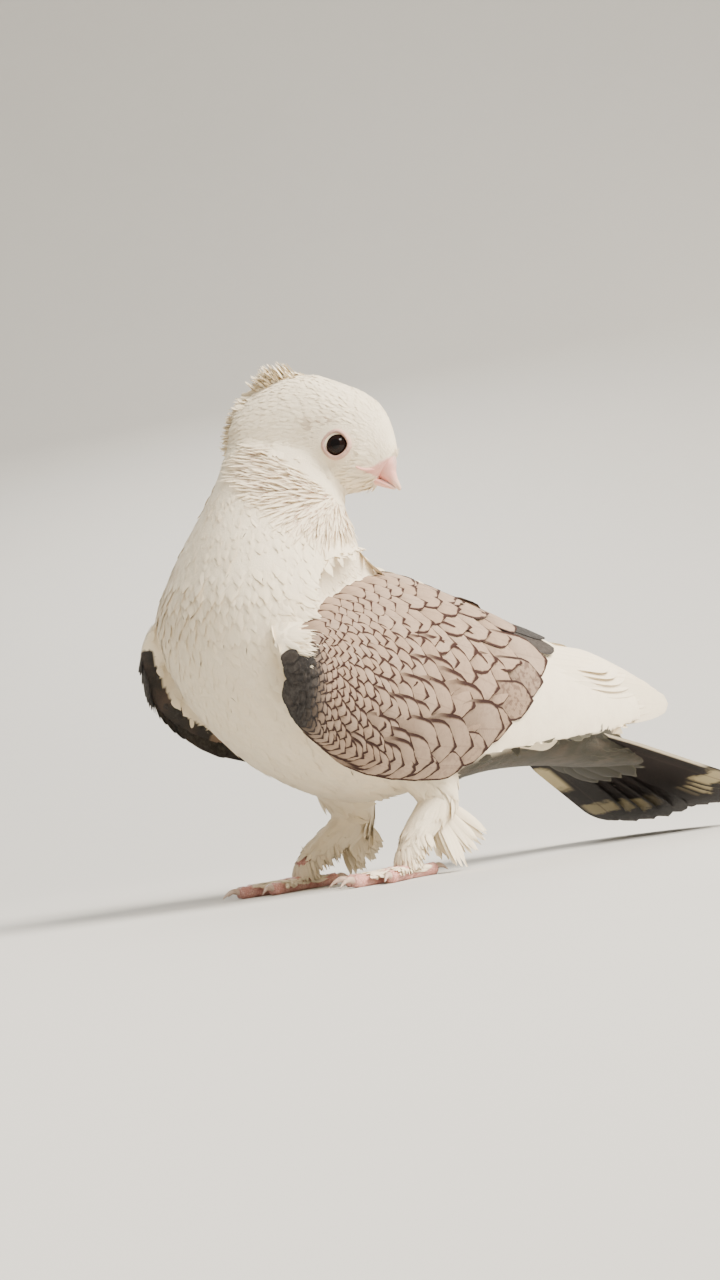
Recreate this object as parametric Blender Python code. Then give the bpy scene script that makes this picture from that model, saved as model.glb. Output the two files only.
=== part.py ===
"""A small standing pigeon with a shell crest, a breast frill, laced wings and feathered legs, life size.

Metres, +Z up. The bird faces -X, its left side is towards -Y, and it stands on the floor at z = 0.
"""

import math
import random

import bmesh
import bpy
import numpy as np
from mathutils import Matrix, Vector
from mathutils.bvhtree import BVHTree

GAP = 0.0003
BLOCK = 0.8
NO_SHIFT = Vector((0.0, 0.0, 0.0))
VANE_THICK = 0.0007
FLIGHT_THICK = 0.00055
VANE_STATIONS = (0.0, 0.45, 0.8, 1.0)
QUILL_STATIONS = (0.0, 0.88, 0.97, 1.0)
CRISP = math.radians(35.0)
SEED = 7

# Body from the tail root to the throat: back x, back z, belly or front x, z, half width, middle y,
# turn in degrees
BODY = (
    (0.150, 0.0335, 0.147, 0.0265, 0.0170, 0.005, 0.0),
    (0.128, 0.0450, 0.122, 0.0300, 0.0180, 0.003, 0.0),
    (0.106, 0.0590, 0.095, 0.0325, 0.0205, 0.001, 0.0),
    (0.084, 0.0750, 0.067, 0.0325, 0.0260, 0.000, 0.0),
    (0.060, 0.0930, 0.036, 0.0290, 0.0320, 0.000, 0.0),
    (0.040, 0.1020, 0.006, 0.0285, 0.0370, 0.000, 0.0),
    (0.026, 0.1080, -0.022, 0.0405, 0.0385, 0.000, 0.0),
    (0.018, 0.1130, -0.042, 0.0580, 0.0385, 0.000, 0.0),
    (0.014, 0.1160, -0.054, 0.0770, 0.0375, 0.000, 0.0),
    (0.012, 0.1190, -0.058, 0.0980, 0.0345, 0.000, 0.0),
    (0.011, 0.1240, -0.051, 0.1160, 0.0300, -0.001, -6.0),
    (0.011, 0.1310, -0.041, 0.1320, 0.0245, -0.002, -20.0),
    (0.0115, 0.139, -0.0325, 0.1455, 0.0195, -0.003, -38.0),
    (0.0090, 0.148, -0.0270, 0.1580, 0.0140, -0.004, -50.0),
)
BODY_FULLNESS, HEAD_FULLNESS, BILL_FULLNESS = 2.3, 2.1, 2.2
BODY_ROWS, BODY_AROUND = 19, 16
TAIL_CUT = ((0.098, 0.080), (0.066, 0.030))
NECK_CUT = ((0.016, 0.1140), (-0.060, 0.0970))
HEAD_CUT = ((0.016, 0.1335), (-0.034, 0.1500))

# The head's own frame: forward (a), up (b) and right (c), measured from midway between the eyes
HEAD_PLACE = Vector((0.005, -0.016, 0.1545))
HEAD_TURN = math.radians(-50.0)
# Head from the back to the bill: top a, b, bottom a, b, half width
HEAD = (
    (-0.0365, 0.0070, -0.0350, -0.0010, 0.0075),
    (-0.0320, 0.0155, -0.0285, -0.0095, 0.0135),
    (-0.0235, 0.0218, -0.0190, -0.0165, 0.0156),
    (-0.0130, 0.0250, -0.0095, -0.0182, 0.0158),
    (-0.0020, 0.0236, -0.0010, -0.0200, 0.0156),
    (0.0070, 0.0192, 0.0055, -0.0202, 0.0146),
    (0.0142, 0.0148, 0.0100, -0.0200, 0.0124),
    (0.0195, 0.0094, 0.0130, -0.0196, 0.0098),
    (0.0222, 0.0020, 0.0150, -0.0192, 0.0076),
    (0.0231, -0.0060, 0.0165, -0.0196, 0.0062),
    (0.0232, -0.0120, 0.0185, -0.0205, 0.0045),
)
EYE_AT = (0.0039, -0.0043)
EYE_RADIUS = 0.0052
EYE_OUT = 0.0102
LID_RING = 0.0046
LID_THICK = 0.0008
LID_OUT = 0.0044

BILL_ROOT = (0.0182, -0.0140)
BILL_TILT = math.radians(-43.0)
# A nostril: place along the bill and above its middle, place aside, its half length, half height and depth
NOSTRIL_AT = (0.0031, 0.0011, 0.0038)
NOSTRIL_SIZE = (0.0009, 0.0004, 0.0012)
# The line of the mouth behind the bill: its two ends, half height and depth
GAPE = ((0.0085, -0.0131), (0.0146, -0.0163))
GAPE_HEIGHT, GAPE_DEPTH = 0.00034, 0.0009
# Along the bill from its root: distance, top, bottom, half width
UPPER_BILL = (
    (0.0000, 0.0064, -0.0039, 0.0048),
    (0.0019, 0.0046, -0.0036, 0.0042),
    (0.0037, 0.0019, -0.0034, 0.0032),
    (0.0059, -0.0001, -0.0033, 0.0021),
    (0.0078, -0.0013, -0.0034, 0.0012),
    (0.0091, -0.0022, -0.0034, 0.0005),
)
LOWER_BILL = (
    (0.0000, -0.0043, -0.0068, 0.0043),
    (0.0020, -0.0040, -0.0062, 0.0036),
    (0.0042, -0.0038, -0.0054, 0.0026),
    (0.0060, -0.0037, -0.0047, 0.0016),
    (0.0070, -0.0038, -0.0042, 0.0008),
)

# Folded wing, right side: top x, y, z, low x, y, z, bulge, thickness
WING = (
    (-0.050, 0.0330, 0.0880, -0.0500, 0.0360, 0.0740, 0.0060, 0.0090),
    (-0.044, 0.0285, 0.0975, -0.0450, 0.0385, 0.0615, 0.0140, 0.0150),
    (-0.027, 0.0195, 0.1075, -0.0290, 0.0400, 0.0500, 0.0190, 0.0160),
    (-0.003, 0.0090, 0.1130, -0.0060, 0.0395, 0.0445, 0.0200, 0.0140),
    (0.024, 0.0035, 0.1120, 0.0200, 0.0370, 0.0430, 0.0180, 0.0110),
    (0.050, 0.0012, 0.1050, 0.0470, 0.0325, 0.0440, 0.0140, 0.0085),
    (0.076, 0.0010, 0.0950, 0.0750, 0.0275, 0.0445, 0.0090, 0.0070),
    (0.102, 0.0012, 0.0840, 0.1020, 0.0220, 0.0445, 0.0050, 0.0062),
    (0.124, 0.0020, 0.0740, 0.1220, 0.0170, 0.0450, 0.0030, 0.0058),
    (0.144, 0.0045, 0.0640, 0.1430, 0.0130, 0.0470, 0.0015, 0.0055),
)
# How much further back the left wing's wrist is held, and the length over which that fades
WRIST_BACK = 0.0045
WRIST_FADE = (0.050, 0.090)
# The edge of the breast's cape over the shield's front: two places on it, and the way out of the body there
CAPE_EDGE = (Vector((0.022, 0.012, 0.115)), Vector((-0.044, 0.042, 0.082)))
CAPE_OUT = Vector((-0.30, 0.24, 0.92))
HOLLOW_OUT = Vector((0.0, 0.011, 0.009))
FLIGHT_IN = Vector((0.0, -0.0072, -0.0050))
# How far past the back's middle line the wings' hollows reach, from this place along the wing on
RIDGE_OVERLAP = -0.10
RIDGE_FROM = 0.34
# The line where the laced shield ends and the white flight feathers begin, and how far these lie inside
SHIELD_END = ((0.121, 0.085), (0.040, 0.036))
FLIGHT_SINK = 0.0010
QUILL_BASE = 0.007
FLIGHT_DOWNS = (0.05, 0.35, 0.65, 0.95)
WING_SWELL = 0.30
WING_TILT = 0.18
WING_TIP = Vector((0.1635, 0.0060, 0.0522))
PRIMARIES = 5
PRIMARY_STEP = Vector((-0.0085, 0.0012, 0.0046))
PRIMARY_PITCH = 0.0010
PRIMARY_WIDTH = 0.0170
# Rows of laced coverts from the wrist back: place along the shield, feathers, length, width
COVERTS = (
    (0.02, 5, 0.0160, 0.0145),
    (0.21, 5, 0.0185, 0.0155),
    (0.41, 5, 0.0210, 0.0165),
    (0.60, 5, 0.0230, 0.0170),
    (0.78, 4, 0.0250, 0.0185),
)
SHIELD_TOP, SHIELD_LOW = 0.86, 0.53
COVERT_SINK, COVERT_RISE = 0.0014, 0.0021
SHINGLE = math.radians(5.0)

TAIL_ROOT = Vector((0.096, 0.000, 0.0516))
TAIL_PITCH = math.radians(-22.5)
TAIL_YAW = math.radians(8.0)
TAIL_ROLL = math.radians(8.0)
TAIL_FAN = math.radians(13.0)
TAIL_SPREAD = 0.0085
TAIL_LENGTH = 0.112
TAIL_OUTER_LESS = 0.013
TAIL_WIDTH = 0.0165
TAIL_FEATHERS = 12
TAIL_STACK = 0.0009
UNDERTAIL = ((0.012, 2, 0.050, 0.0190), (0.000, 3, 0.040, 0.0170))
UPPERTAIL = ((0.006, 3, 0.040, 0.0150),)

# Crest: rows over the back of the head as a, b, locks, half spread, lean back in degrees, length
CREST = (
    (-0.0140, 0.0225, 3, 0.0055, 8.0, 0.0098),
    (-0.0205, 0.0195, 5, 0.0085, 30.0, 0.0100),
    (-0.0270, 0.0145, 5, 0.0100, 52.0, 0.0095),
)
CREST_WIDTH, CREST_THICK = 0.0056, 0.0009
CREST_ROLL = 0.8

# Frill of raised feathers, from the throat down the breast: height, headings of its feathers, length
THROAT_FRILL = (
    (0.1330, (-64, -84, -104, -124), 0.0125),
    (0.1265, (-54, -74, -94, -114, -134), 0.0125),
)
BREAST_FRILL = (
    (0.0990, (-104, -120, -136), 0.0140),
    (0.0920, (-112, -128), 0.0135),
    (0.0850, (-108, -124, -140), 0.0130),
    (0.0780, (-116, -132), 0.0125),
)
FRILL_WIDTH = 0.0074
FRILL_RISE = 0.14
FRILL_SINK = 0.0012
FRILL_CLEAR = 0.0038

# Each leg: hip, hock, ankle, foot's heading, with x forward-back, y out and z up
LEFT_LEG = {
    "hip": (0.019, 0.021, 0.050),
    "hock": (0.025, 0.025, 0.026),
    "ankle": (0.008, 0.0235, 0.0095),
    "turn": 8.0,
}
RIGHT_LEG = {
    "hip": (0.016, 0.020, 0.048),
    "hock": (0.025, 0.022, 0.0225),
    "ankle": (-0.002, 0.022, 0.0090),
    "turn": 6.0,
}
# Limbs: place from one joint to the next, radius front to back, radius side to side
THIGH = ((0.0, 0.0155, 0.0110), (0.5, 0.0135, 0.0100), (0.82, 0.0105, 0.0085), (1.0, 0.0078, 0.0068))
SHANK = ((0.0, 0.0062, 0.0056), (0.35, 0.0070, 0.0066), (0.7, 0.0064, 0.0066), (0.92, 0.0050, 0.0054))
# Each toe swells at its joints: place along it, share of its radius
TOE_SWELLS = ((0.0, 1.25), (0.35, 0.94), (0.58, 1.10), (1.0, 0.76))
SOLE_HEIGHT = 0.0019
# A claw: place along it, radius
CLAW = ((0.0, 0.0012), (0.4, 0.0010), (0.75, 0.0006), (1.0, 0.0003))
CLAW_ARCH, CLAW_DROP = 0.0012, 0.0008
THIGH_LOCKS, THIGH_LOCK_LENGTH, THIGH_LOCK_WIDTH = 8, 0.0130, 0.0088
SHANK_LOCKS, SHANK_LOCK_LENGTH, SHANK_LOCK_WIDTH = 7, 0.0100, 0.0064
LOCK_THICK = 0.0008
TOES = (("inner", 26.0, 0.021), ("middle", 0.0, 0.027), ("outer", -28.0, 0.022), ("hind", 178.0, 0.014))
TOE_RADIUS = 0.0025
FEATHER_FLOOR = 0.0012
MUFF_LOCKS, MUFF_LENGTH, MUFF_WIDTH = 5, 0.0200, 0.0068
CLAW_LENGTH = 0.0065

MATERIALS = {
    "white_plumage": ((0.86, 0.80, 0.68, 1.0), 0.75),
    "laced_plumage": ((0.62, 0.45, 0.34, 1.0), 0.70),
    "dark_plumage": ((0.035, 0.03, 0.028, 1.0), 0.60),
    "bill_horn": ((0.86, 0.55, 0.46, 1.0), 0.45),
    "eye": ((0.02, 0.01, 0.008, 1.0), 0.08),
    "lid_skin": ((0.76, 0.50, 0.42, 1.0), 0.50),
    "leg_skin": ((0.72, 0.38, 0.34, 1.0), 0.55),
    "claw_horn": ((0.80, 0.66, 0.55, 1.0), 0.40),
}


PARTS, CUTTERS = "pigeon", "pigeon_cutters"
CHANCE = random.Random(SEED)


def clear_scene():
    for thing in list(bpy.data.objects):
        bpy.data.objects.remove(thing, do_unlink=True)
    for name in (PARTS, CUTTERS):
        bpy.context.scene.collection.children.link(bpy.data.collections.new(name))


def gathered(thing, name):
    """Moves an object to the collection of that name."""
    for group in list(thing.users_collection):
        group.objects.unlink(thing)
    bpy.data.collections[name].objects.link(thing)


def material(name):
    """The material of that name, made once from its colour and roughness."""
    found = bpy.data.materials.get(name)
    if found:
        return found
    colour, roughness = MATERIALS[name]
    made = bpy.data.materials.new(name)
    made.use_nodes = True
    shader = made.node_tree.nodes["Principled BSDF"]
    shader.inputs["Base Color"].default_value = colour
    shader.inputs["Roughness"].default_value = roughness
    made.diffuse_color = colour
    return made


def resampled(rows, count):
    """count rows read evenly along a smooth curve through the given rows."""
    return [resampled_at(rows, step) for step in np.linspace(0, len(rows) - 1, count)]


def piece(name, points, faces):
    """A closed mesh object with its faces pointing out, as triangles."""
    mesh = bpy.data.meshes.new(name)
    mesh.from_pydata([tuple(p) for p in points], [], faces)
    shaped = bmesh.new()
    shaped.from_mesh(mesh)
    bmesh.ops.remove_doubles(shaped, verts=shaped.verts, dist=1e-6)
    bmesh.ops.triangulate(shaped, faces=[f for f in shaped.faces if len(f.verts) > 4])
    bmesh.ops.recalc_face_normals(shaped, faces=shaped.faces)
    if shaped.calc_volume(signed=True) < 0:
        bmesh.ops.reverse_faces(shaped, faces=shaped.faces)
    shaped.to_mesh(mesh)
    shaped.free()
    made = bpy.data.objects.new(name, mesh)
    bpy.context.scene.collection.objects.link(made)
    return made


def loft(name, rings, first, last):
    """A closed tube through rings of points, brought to a point at each end."""
    around = len(rings[0])
    points = [first] + [p for ring in rings for p in ring] + [last]
    end = len(points) - 1
    faces = []
    for j in range(around):
        k = (j + 1) % around
        faces.append((0, 1 + k, 1 + j))
        for i in range(len(rings) - 1):
            low, high = 1 + i * around, 1 + (i + 1) * around
            faces.append((low + j, low + k, high + j))
            faces.append((low + k, high + k, high + j))
        faces.append((end, 1 + (len(rings) - 1) * around + j, 1 + (len(rings) - 1) * around + k))
    return piece(name, points, faces)


def joined(name, parts):
    """One body from closed pieces that overlap: a Boolean union, applied, keeping its largest surface."""
    base, others = parts[0], parts[1:]
    if others:
        group = bpy.data.collections.new(name + "_pieces")
        bpy.context.scene.collection.children.link(group)
        for other in others:
            bpy.context.scene.collection.objects.unlink(other)
            group.objects.link(other)
        union = base.modifiers.new("Union", "BOOLEAN")
        union.operation = "UNION"
        union.operand_type = "COLLECTION"
        union.collection = group
        union.solver = "MANIFOLD"
    made = applied(name, base)
    for other in others:
        bpy.data.objects.remove(other, do_unlink=True)
    if others:
        bpy.data.collections.remove(group)
    keep_largest(made)
    return made


def cut(host, cutters):
    """The host with every cutter taken away."""
    for cutter in cutters:
        gathered(cutter, CUTTERS)
        cutter.hide_render = True
        cutter.display_type = "WIRE"
        away = host.modifiers.new("Cut", "BOOLEAN")
        away.operation = "DIFFERENCE"
        away.object = cutter
        away.solver = "MANIFOLD"
    made = applied(host.name, host)
    for cutter in cutters:
        bpy.data.objects.remove(cutter, do_unlink=True)
    keep_largest(made)
    return made


def applied(name, thing):
    """The object with its modifiers made real, under that name."""
    bpy.context.view_layer.update()
    mesh = bpy.data.meshes.new_from_object(thing.evaluated_get(bpy.context.evaluated_depsgraph_get()))
    bpy.data.objects.remove(thing, do_unlink=True)
    made = bpy.data.objects.new(name, mesh)
    bpy.context.scene.collection.objects.link(made)
    return made


def keep_largest(thing):
    """Leaves only the closed surface that holds the most."""
    shaped = bmesh.new()
    shaped.from_mesh(thing.data)
    bmesh.ops.triangulate(shaped, faces=shaped.faces)
    left = set(shaped.faces)
    islands = []
    while left:
        island, edge = set(), [left.pop()]
        while edge:
            face = edge.pop()
            island.add(face)
            near = {f for e in face.edges for f in e.link_faces} & left
            left -= near
            edge.extend(near)
        islands.append(island)
    islands.sort(key=surface_volume, reverse=True)
    loose = [f for island in islands[1:] for f in island]
    bmesh.ops.delete(shaped, geom=loose, context="FACES")
    shaped.to_mesh(thing.data)
    shaped.free()


def surface_volume(faces):
    return sum(f.verts[0].co.dot(f.verts[1].co.cross(f.verts[2].co)) for f in faces) / 6


def half_space(place, normal):
    """A block with one face on a plane, on the side that the normal points to."""
    shaped = bmesh.new()
    bmesh.ops.create_cube(shaped, size=BLOCK)
    mesh = bpy.data.meshes.new("half_space")
    shaped.to_mesh(mesh)
    shaped.free()
    made = bpy.data.objects.new("half_space", mesh)
    turn = Vector(normal).normalized().to_track_quat("Z", "Y")
    for v in mesh.vertices:
        v.co.z += BLOCK / 2
        v.co.rotate(turn)
        v.co += Vector(place)
    bpy.context.scene.collection.objects.link(made)
    return made


def sliced(thing, place, normal):
    """Cuts the object at a plane and keeps the side that the normal points away from."""
    return cut(thing, [half_space(place, normal)])


def copy_of(thing, name):
    made = bpy.data.objects.new(name, thing.data.copy())
    bpy.context.scene.collection.objects.link(made)
    return made


def finish(thing, finish_name):
    """Gives a node its material and smooth shading with crisp edges."""
    thing.data.materials.clear()
    thing.data.materials.append(material(finish_name))
    thing.data.shade_smooth()
    thing.data.set_sharp_from_angle(angle=CRISP)
    gathered(thing, PARTS)
    return thing


def vane(name, root, along, out, length, width, thick=VANE_THICK, bend=0.0, sway=0.0, blunt=0.55, roll=0.0,
         stations=VANE_STATIONS):
    """A feather: a thin plate with a rounded tip, its tip bent towards the body by bend and aside by sway."""
    along = Vector(along).normalized()
    out = Vector(out)
    out = (out - along * out.dot(along)).normalized()
    across = along.cross(out)
    turn = Matrix.Rotation(roll, 3, along)
    across, out = turn @ across, turn @ out
    rings = []
    for t in stations:
        tip = math.sqrt(max(0.0, 1 - max(0.0, (t - blunt) / (1.04 - blunt)) ** 2))
        spread = width / 2 * (0.6 + 0.4 * min(1.0, t * 2.2)) * tip
        middle = Vector(root) + along * (length * t) - out * (bend * t * t) + across * (sway * t * t)
        half = thick / 2 * (1 - 0.25 * t)
        corners = ((spread, half), (-spread, half), (-spread, -half), (spread, -half))
        rings.append([middle + across * c + out * h for c, h in corners])
    points = [p for ring in rings for p in ring]
    steps = len(stations) - 1
    last = 4 * steps
    faces = [(0, 1, 2), (0, 2, 3), (last, last + 2, last + 1), (last, last + 3, last + 2)]
    for i in range(steps):
        low, high = 4 * i, 4 * i + 4
        faces += [(low, high, high + 1), (low, high + 1, low + 1)]
        faces += [(low + 3, high + 2, high + 3), (low + 3, low + 2, high + 2)]
        faces += [(low + 1, high + 1, high + 2), (low + 1, high + 2, low + 2)]
        faces += [(low + 3, high + 3, high), (low + 3, high, low)]
    return piece(name, points, faces)


def ring_between(top, low, half_width, middle_y, around, fullness):
    """A closed section between a top and a low point, as wide as given, lying across the Y axis."""
    centre, arm = (top + low) / 2, (top - low) / 2
    ring = []
    for j in range(around):
        angle = 2 * math.pi * j / around
        up = math.copysign(abs(math.cos(angle)) ** (2 / fullness), math.cos(angle))
        side = math.copysign(abs(math.sin(angle)) ** (2 / fullness), math.sin(angle))
        ring.append(Vector((centre.x + arm.x * up, middle_y + half_width * side, centre.z + arm.z * up)))
    return ring


def body_form(rows, around, grow=0.0):
    """The body and neck as one loft; the neck's upper sections turn with the head."""
    rings = []
    for back_x, back_z, low_x, low_z, half_width, middle_y, turn in resampled(BODY, rows):
        back, low = Vector((back_x, 0, back_z)), Vector((low_x, 0, low_z))
        reach = (back - low).normalized() * grow
        ring = ring_between(back + reach, low - reach, half_width + grow, 0.0, around, BODY_FULLNESS)
        middle = Vector(((back_x + low_x) / 2, 0, 0))
        turning = Matrix.Rotation(math.radians(turn), 3, "Z")
        rings.append([turning @ (p - middle) + middle + Vector((0, middle_y, 0)) for p in ring])
    first = sum(rings[0], Vector()) / around + Vector((0.004, 0, -0.001))
    last = sum(rings[-1], Vector()) / around + Vector((0, 0, 0.003))
    return loft("body", rings, first, last)


def head_point(a, b, c=0.0):
    """A place in the head's own frame, in the bird's frame."""
    forward = Vector((math.cos(HEAD_TURN), math.sin(HEAD_TURN), 0))
    right = Vector((forward.y, -forward.x, 0))
    return HEAD_PLACE + forward * a + right * c + Vector((0, 0, b))


def head_direction(a, b, c=0.0):
    return head_point(a, b, c) - HEAD_PLACE


def head_form(rows, around):
    rings = []
    for top_a, top_b, low_a, low_b, half_width in resampled(HEAD, rows):
        top, low = Vector((top_a, 0, top_b)), Vector((low_a, 0, low_b))
        ring = ring_between(top, low, half_width, 0.0, around, HEAD_FULLNESS)
        rings.append([head_point(p.x, p.z, p.y) for p in ring])
    first = sum(rings[0], Vector()) / around + head_direction(-0.001, 0.0)
    last = sum(rings[-1], Vector()) / around + head_direction(0.0005, -0.0005)
    return loft("head_form", rings, first, last)


def ball(name, centre, radius, segments=12, rings=8):
    """A round ball."""
    shaped = bmesh.new()
    bmesh.ops.create_uvsphere(shaped, u_segments=segments, v_segments=rings, radius=radius)
    mesh = bpy.data.meshes.new(name)
    for v in shaped.verts:
        v.co += Vector(centre)
    bmesh.ops.recalc_face_normals(shaped, faces=shaped.faces)
    shaped.to_mesh(mesh)
    shaped.free()
    made = bpy.data.objects.new(name, mesh)
    bpy.context.scene.collection.objects.link(made)
    return made


def lid(name, side, grow=0.0):
    """The rim of bare skin round an eye."""
    axis = head_direction(0, 0, side).normalized()
    centre = eye_place(side) + axis * LID_OUT
    thick = LID_THICK + grow
    turn = axis.to_track_quat("Z", "Y")
    around, section = 14, 5
    rings = []
    for i in range(around):
        angle = 2 * math.pi * i / around
        outward = Vector((math.cos(angle), math.sin(angle), 0))
        ring = []
        for j in range(section):
            roll = 2 * math.pi * j / section
            place = outward * (LID_RING + thick * math.cos(roll)) + Vector((0, 0, thick * math.sin(roll)))
            place.rotate(turn)
            ring.append(centre + place)
        rings.append(ring)
    points = [p for ring in rings for p in ring]
    faces = []
    for i in range(around):
        for j in range(section):
            low, high = i * section, ((i + 1) % around) * section
            k = (j + 1) % section
            faces.append((low + j, low + k, high + k, high + j))
    return piece(name, points, faces)


def eye_place(side):
    return head_point(EYE_AT[0], EYE_AT[1], side * EYE_OUT)


def bill_part(name, rows, start):
    """One half of the bill, from its root to its tip."""
    along = Vector((math.cos(BILL_TILT), 0, math.sin(BILL_TILT)))
    up = Vector((-along.z, 0, along.x))
    rings = []
    for distance, top, low, half_width in resampled(rows, len(rows) + 2):
        base = Vector((BILL_ROOT[0], 0, BILL_ROOT[1])) + along * (distance + start)
        ring = ring_between(base + up * top, base + up * low, half_width, 0.0, 10, BILL_FULLNESS)
        rings.append([head_point(p.x, p.z, p.y) for p in ring])
    first = sum(rings[0], Vector()) / len(rings[0])
    last = sum(rings[-1], Vector()) / len(rings[-1]) + head_direction(along.x * 0.0003, along.z * 0.0003)
    return loft(name, rings, first, last)


def flattened_ball(name, centre, axes, sizes):
    """A ball stretched along three directions."""
    made = ball(name, (0, 0, 0), 1.0, segments=10, rings=6)
    stretch = Matrix([axis.normalized() * size for axis, size in zip(axes, sizes)]).transposed()
    for v in made.data.vertices:
        v.co = stretch @ v.co + centre
    return made


def nostril(name, side):
    """The cutter of one nostril's slit."""
    along = Vector((math.cos(BILL_TILT), 0, math.sin(BILL_TILT)))
    up = Vector((-along.z, 0, along.x))
    distance, height, aside = NOSTRIL_AT
    place = Vector((BILL_ROOT[0], 0, BILL_ROOT[1])) + along * distance + up * height
    axes = (head_direction(along.x, along.z), head_direction(up.x, up.z), head_direction(0, 0, side))
    return flattened_ball(name, head_point(place.x, place.z, side * aside), axes, NOSTRIL_SIZE)


def gape(name, thing, side):
    """The cutter of the mouth's line on one cheek, from the bill back."""
    rear, front = GAPE
    across = head_direction(0, 0, side).normalized()
    level = head_point((rear[0] + front[0]) / 2, (rear[1] + front[1]) / 2)
    place, normal, _, _ = surface_of(thing).ray_cast(level + across * 0.05, -across)
    reach = head_direction(front[0] - rear[0], front[1] - rear[1])
    along = reach - normal * reach.dot(normal)
    axes = (along, normal.cross(along), normal)
    return flattened_ball(name, place, axes, (reach.length / 2, GAPE_HEIGHT, GAPE_DEPTH))


def wing_point(along, down, lift=0.0):
    """A place on the right wing's outer face: along from wrist to rear, down from its top edge."""
    top_x, top_y, top_z, low_x, low_y, low_z, bulge, _ = resampled_at(WING, along * (len(WING) - 1))
    top, low = Vector((top_x, top_y, top_z)), Vector((low_x, low_y, low_z))
    swell = Vector(((top_x + low_x) / 2, low_y + bulge, top_z - WING_SWELL * (top_z - low_z)))
    place = top * (1 - down) ** 2 + swell * (2 * down * (1 - down)) + low * down**2
    if lift:
        place += wing_normal(along, down) * lift
    return place


def resampled_at(rows, step):
    """One row read at a place between the given rows, along a smooth curve."""
    rows = np.array(rows, float)
    padded = np.vstack([2 * rows[0] - rows[1], rows, 2 * rows[-1] - rows[-2]])
    i = max(0, min(int(step), len(rows) - 2))
    t = step - i
    p0, p1, p2, p3 = padded[i : i + 4]
    bend = 2 * p0 - 5 * p1 + 4 * p2 - p3
    return 0.5 * (2 * p1 + (p2 - p0) * t + bend * t**2 + (3 * p1 - p0 - 3 * p2 + p3) * t**3)


def wing_normal(along, down):
    """The right wing's outward direction at a place on it."""
    step = 0.01
    lengthwise = wing_point(along + step, down) - wing_point(along - step, down)
    crosswise = wing_point(along, min(1, down + step)) - wing_point(along, max(0, down - step))
    return lengthwise.cross(crosswise).normalized()


def on_side(place, side):
    """A right-wing place on either side: the left wing is carried lower, with its wrist further back."""
    back = 0.0
    if side < 0:
        back = WRIST_BACK * min(1.0, max(0.0, (WRIST_FADE[0] - place.x) / WRIST_FADE[1]))
    return Vector((place.x + back, side * place.y, place.z + side * WING_TILT * place.y))


def flight_hollow(name, side):
    """The cutter of the room that the stacked flight feathers take beside the rump and the tail."""
    rings = []
    for i in range(7):
        along = 0.46 + 0.59 * i / 6
        downs = (RIDGE_OVERLAP, 0.3, 0.67, 1.14)
        outer = [on_side(wing_point(along, down) + HOLLOW_OUT, side) for down in downs]
        inner = [on_side(wing_point(along, down) + FLIGHT_IN, side) for down in downs[::-1]]
        rings.append(outer + inner)
    front = sum(rings[0], Vector()) / 8
    return loft(name, rings, front, sum(rings[-1], Vector()) / 8 + Vector((0.03, 0, -0.008)))


def wing_form(name, side, grow=0.0, outward=NO_SHIFT, overlap=0.0):
    """The folded wing's smooth body, or the cutter of its hollow in the body when it is grown."""
    rows, across = 13, 6
    rings = []
    for i in range(rows):
        along = i / (rows - 1)
        thick = resampled_at(WING, along * (len(WING) - 1))[7]
        begin = overlap * min(1.0, max(0.0, (along - RIDGE_FROM) / 0.15))
        outer, inner = [], []
        for j in range(across):
            down = begin + (1 - begin) * j / (across - 1)
            depth = 0.0007 + thick * math.sqrt(max(0.0, 4 * down * (1 - down)))
            outer.append(on_side(wing_point(along, down, grow) + outward, side))
            inner.append(on_side(wing_point(along, down, -depth - grow), side))
        rings.append(outer + inner[::-1])
    front = on_side(wing_point(-0.02, 0.5, -0.004) + Vector((-0.003 - grow, 0, 0)) + outward / 2, side)
    rear = on_side(wing_point(1.0, 0.5, -0.001) + Vector((0.004 + grow, 0, 0)) + outward / 2, side)
    return loft(name, rings, front, rear)


def cape_plane(side):
    """The plane where the breast's feathers lie over the shield: a place, a direction to the wing."""
    high, low = CAPE_EDGE
    normal = (low - high).cross(CAPE_OUT)
    normal = normal if normal.z < 0 else -normal
    return Vector((high.x, side * high.y, high.z)), Vector((normal.x, side * normal.y, normal.z)).normalized()


def cape(name, side):
    """The part of the body, grown by the gap, that the wing keeps clear of."""
    place, normal = cape_plane(side)
    return sliced(body_form(BODY_ROWS, BODY_AROUND, GAP), place + normal * GAP, normal)


def wing_hollow(name, side):
    """The cutter of the wing's bed in the body, only on the wing's side of the cape's edge."""
    place, normal = cape_plane(side)
    return sliced(wing_form(name, side, GAP, HOLLOW_OUT, RIDGE_OVERLAP), place, -normal)


def shield_end(thing, keep_front, back=0.0):
    """Cuts a wing's form where the laced shield gives way to the flight feathers."""
    start, end = (Vector((x, 0, z)) for x, z in SHIELD_END)
    normal = (start - end).cross(Vector((0, 1, 0))).normalized()
    normal = normal if normal.x > 0 else -normal
    sign = 1 if keep_front else -1
    return sliced(thing, start + normal * (back - sign * GAP / 2), normal * sign)


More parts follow.
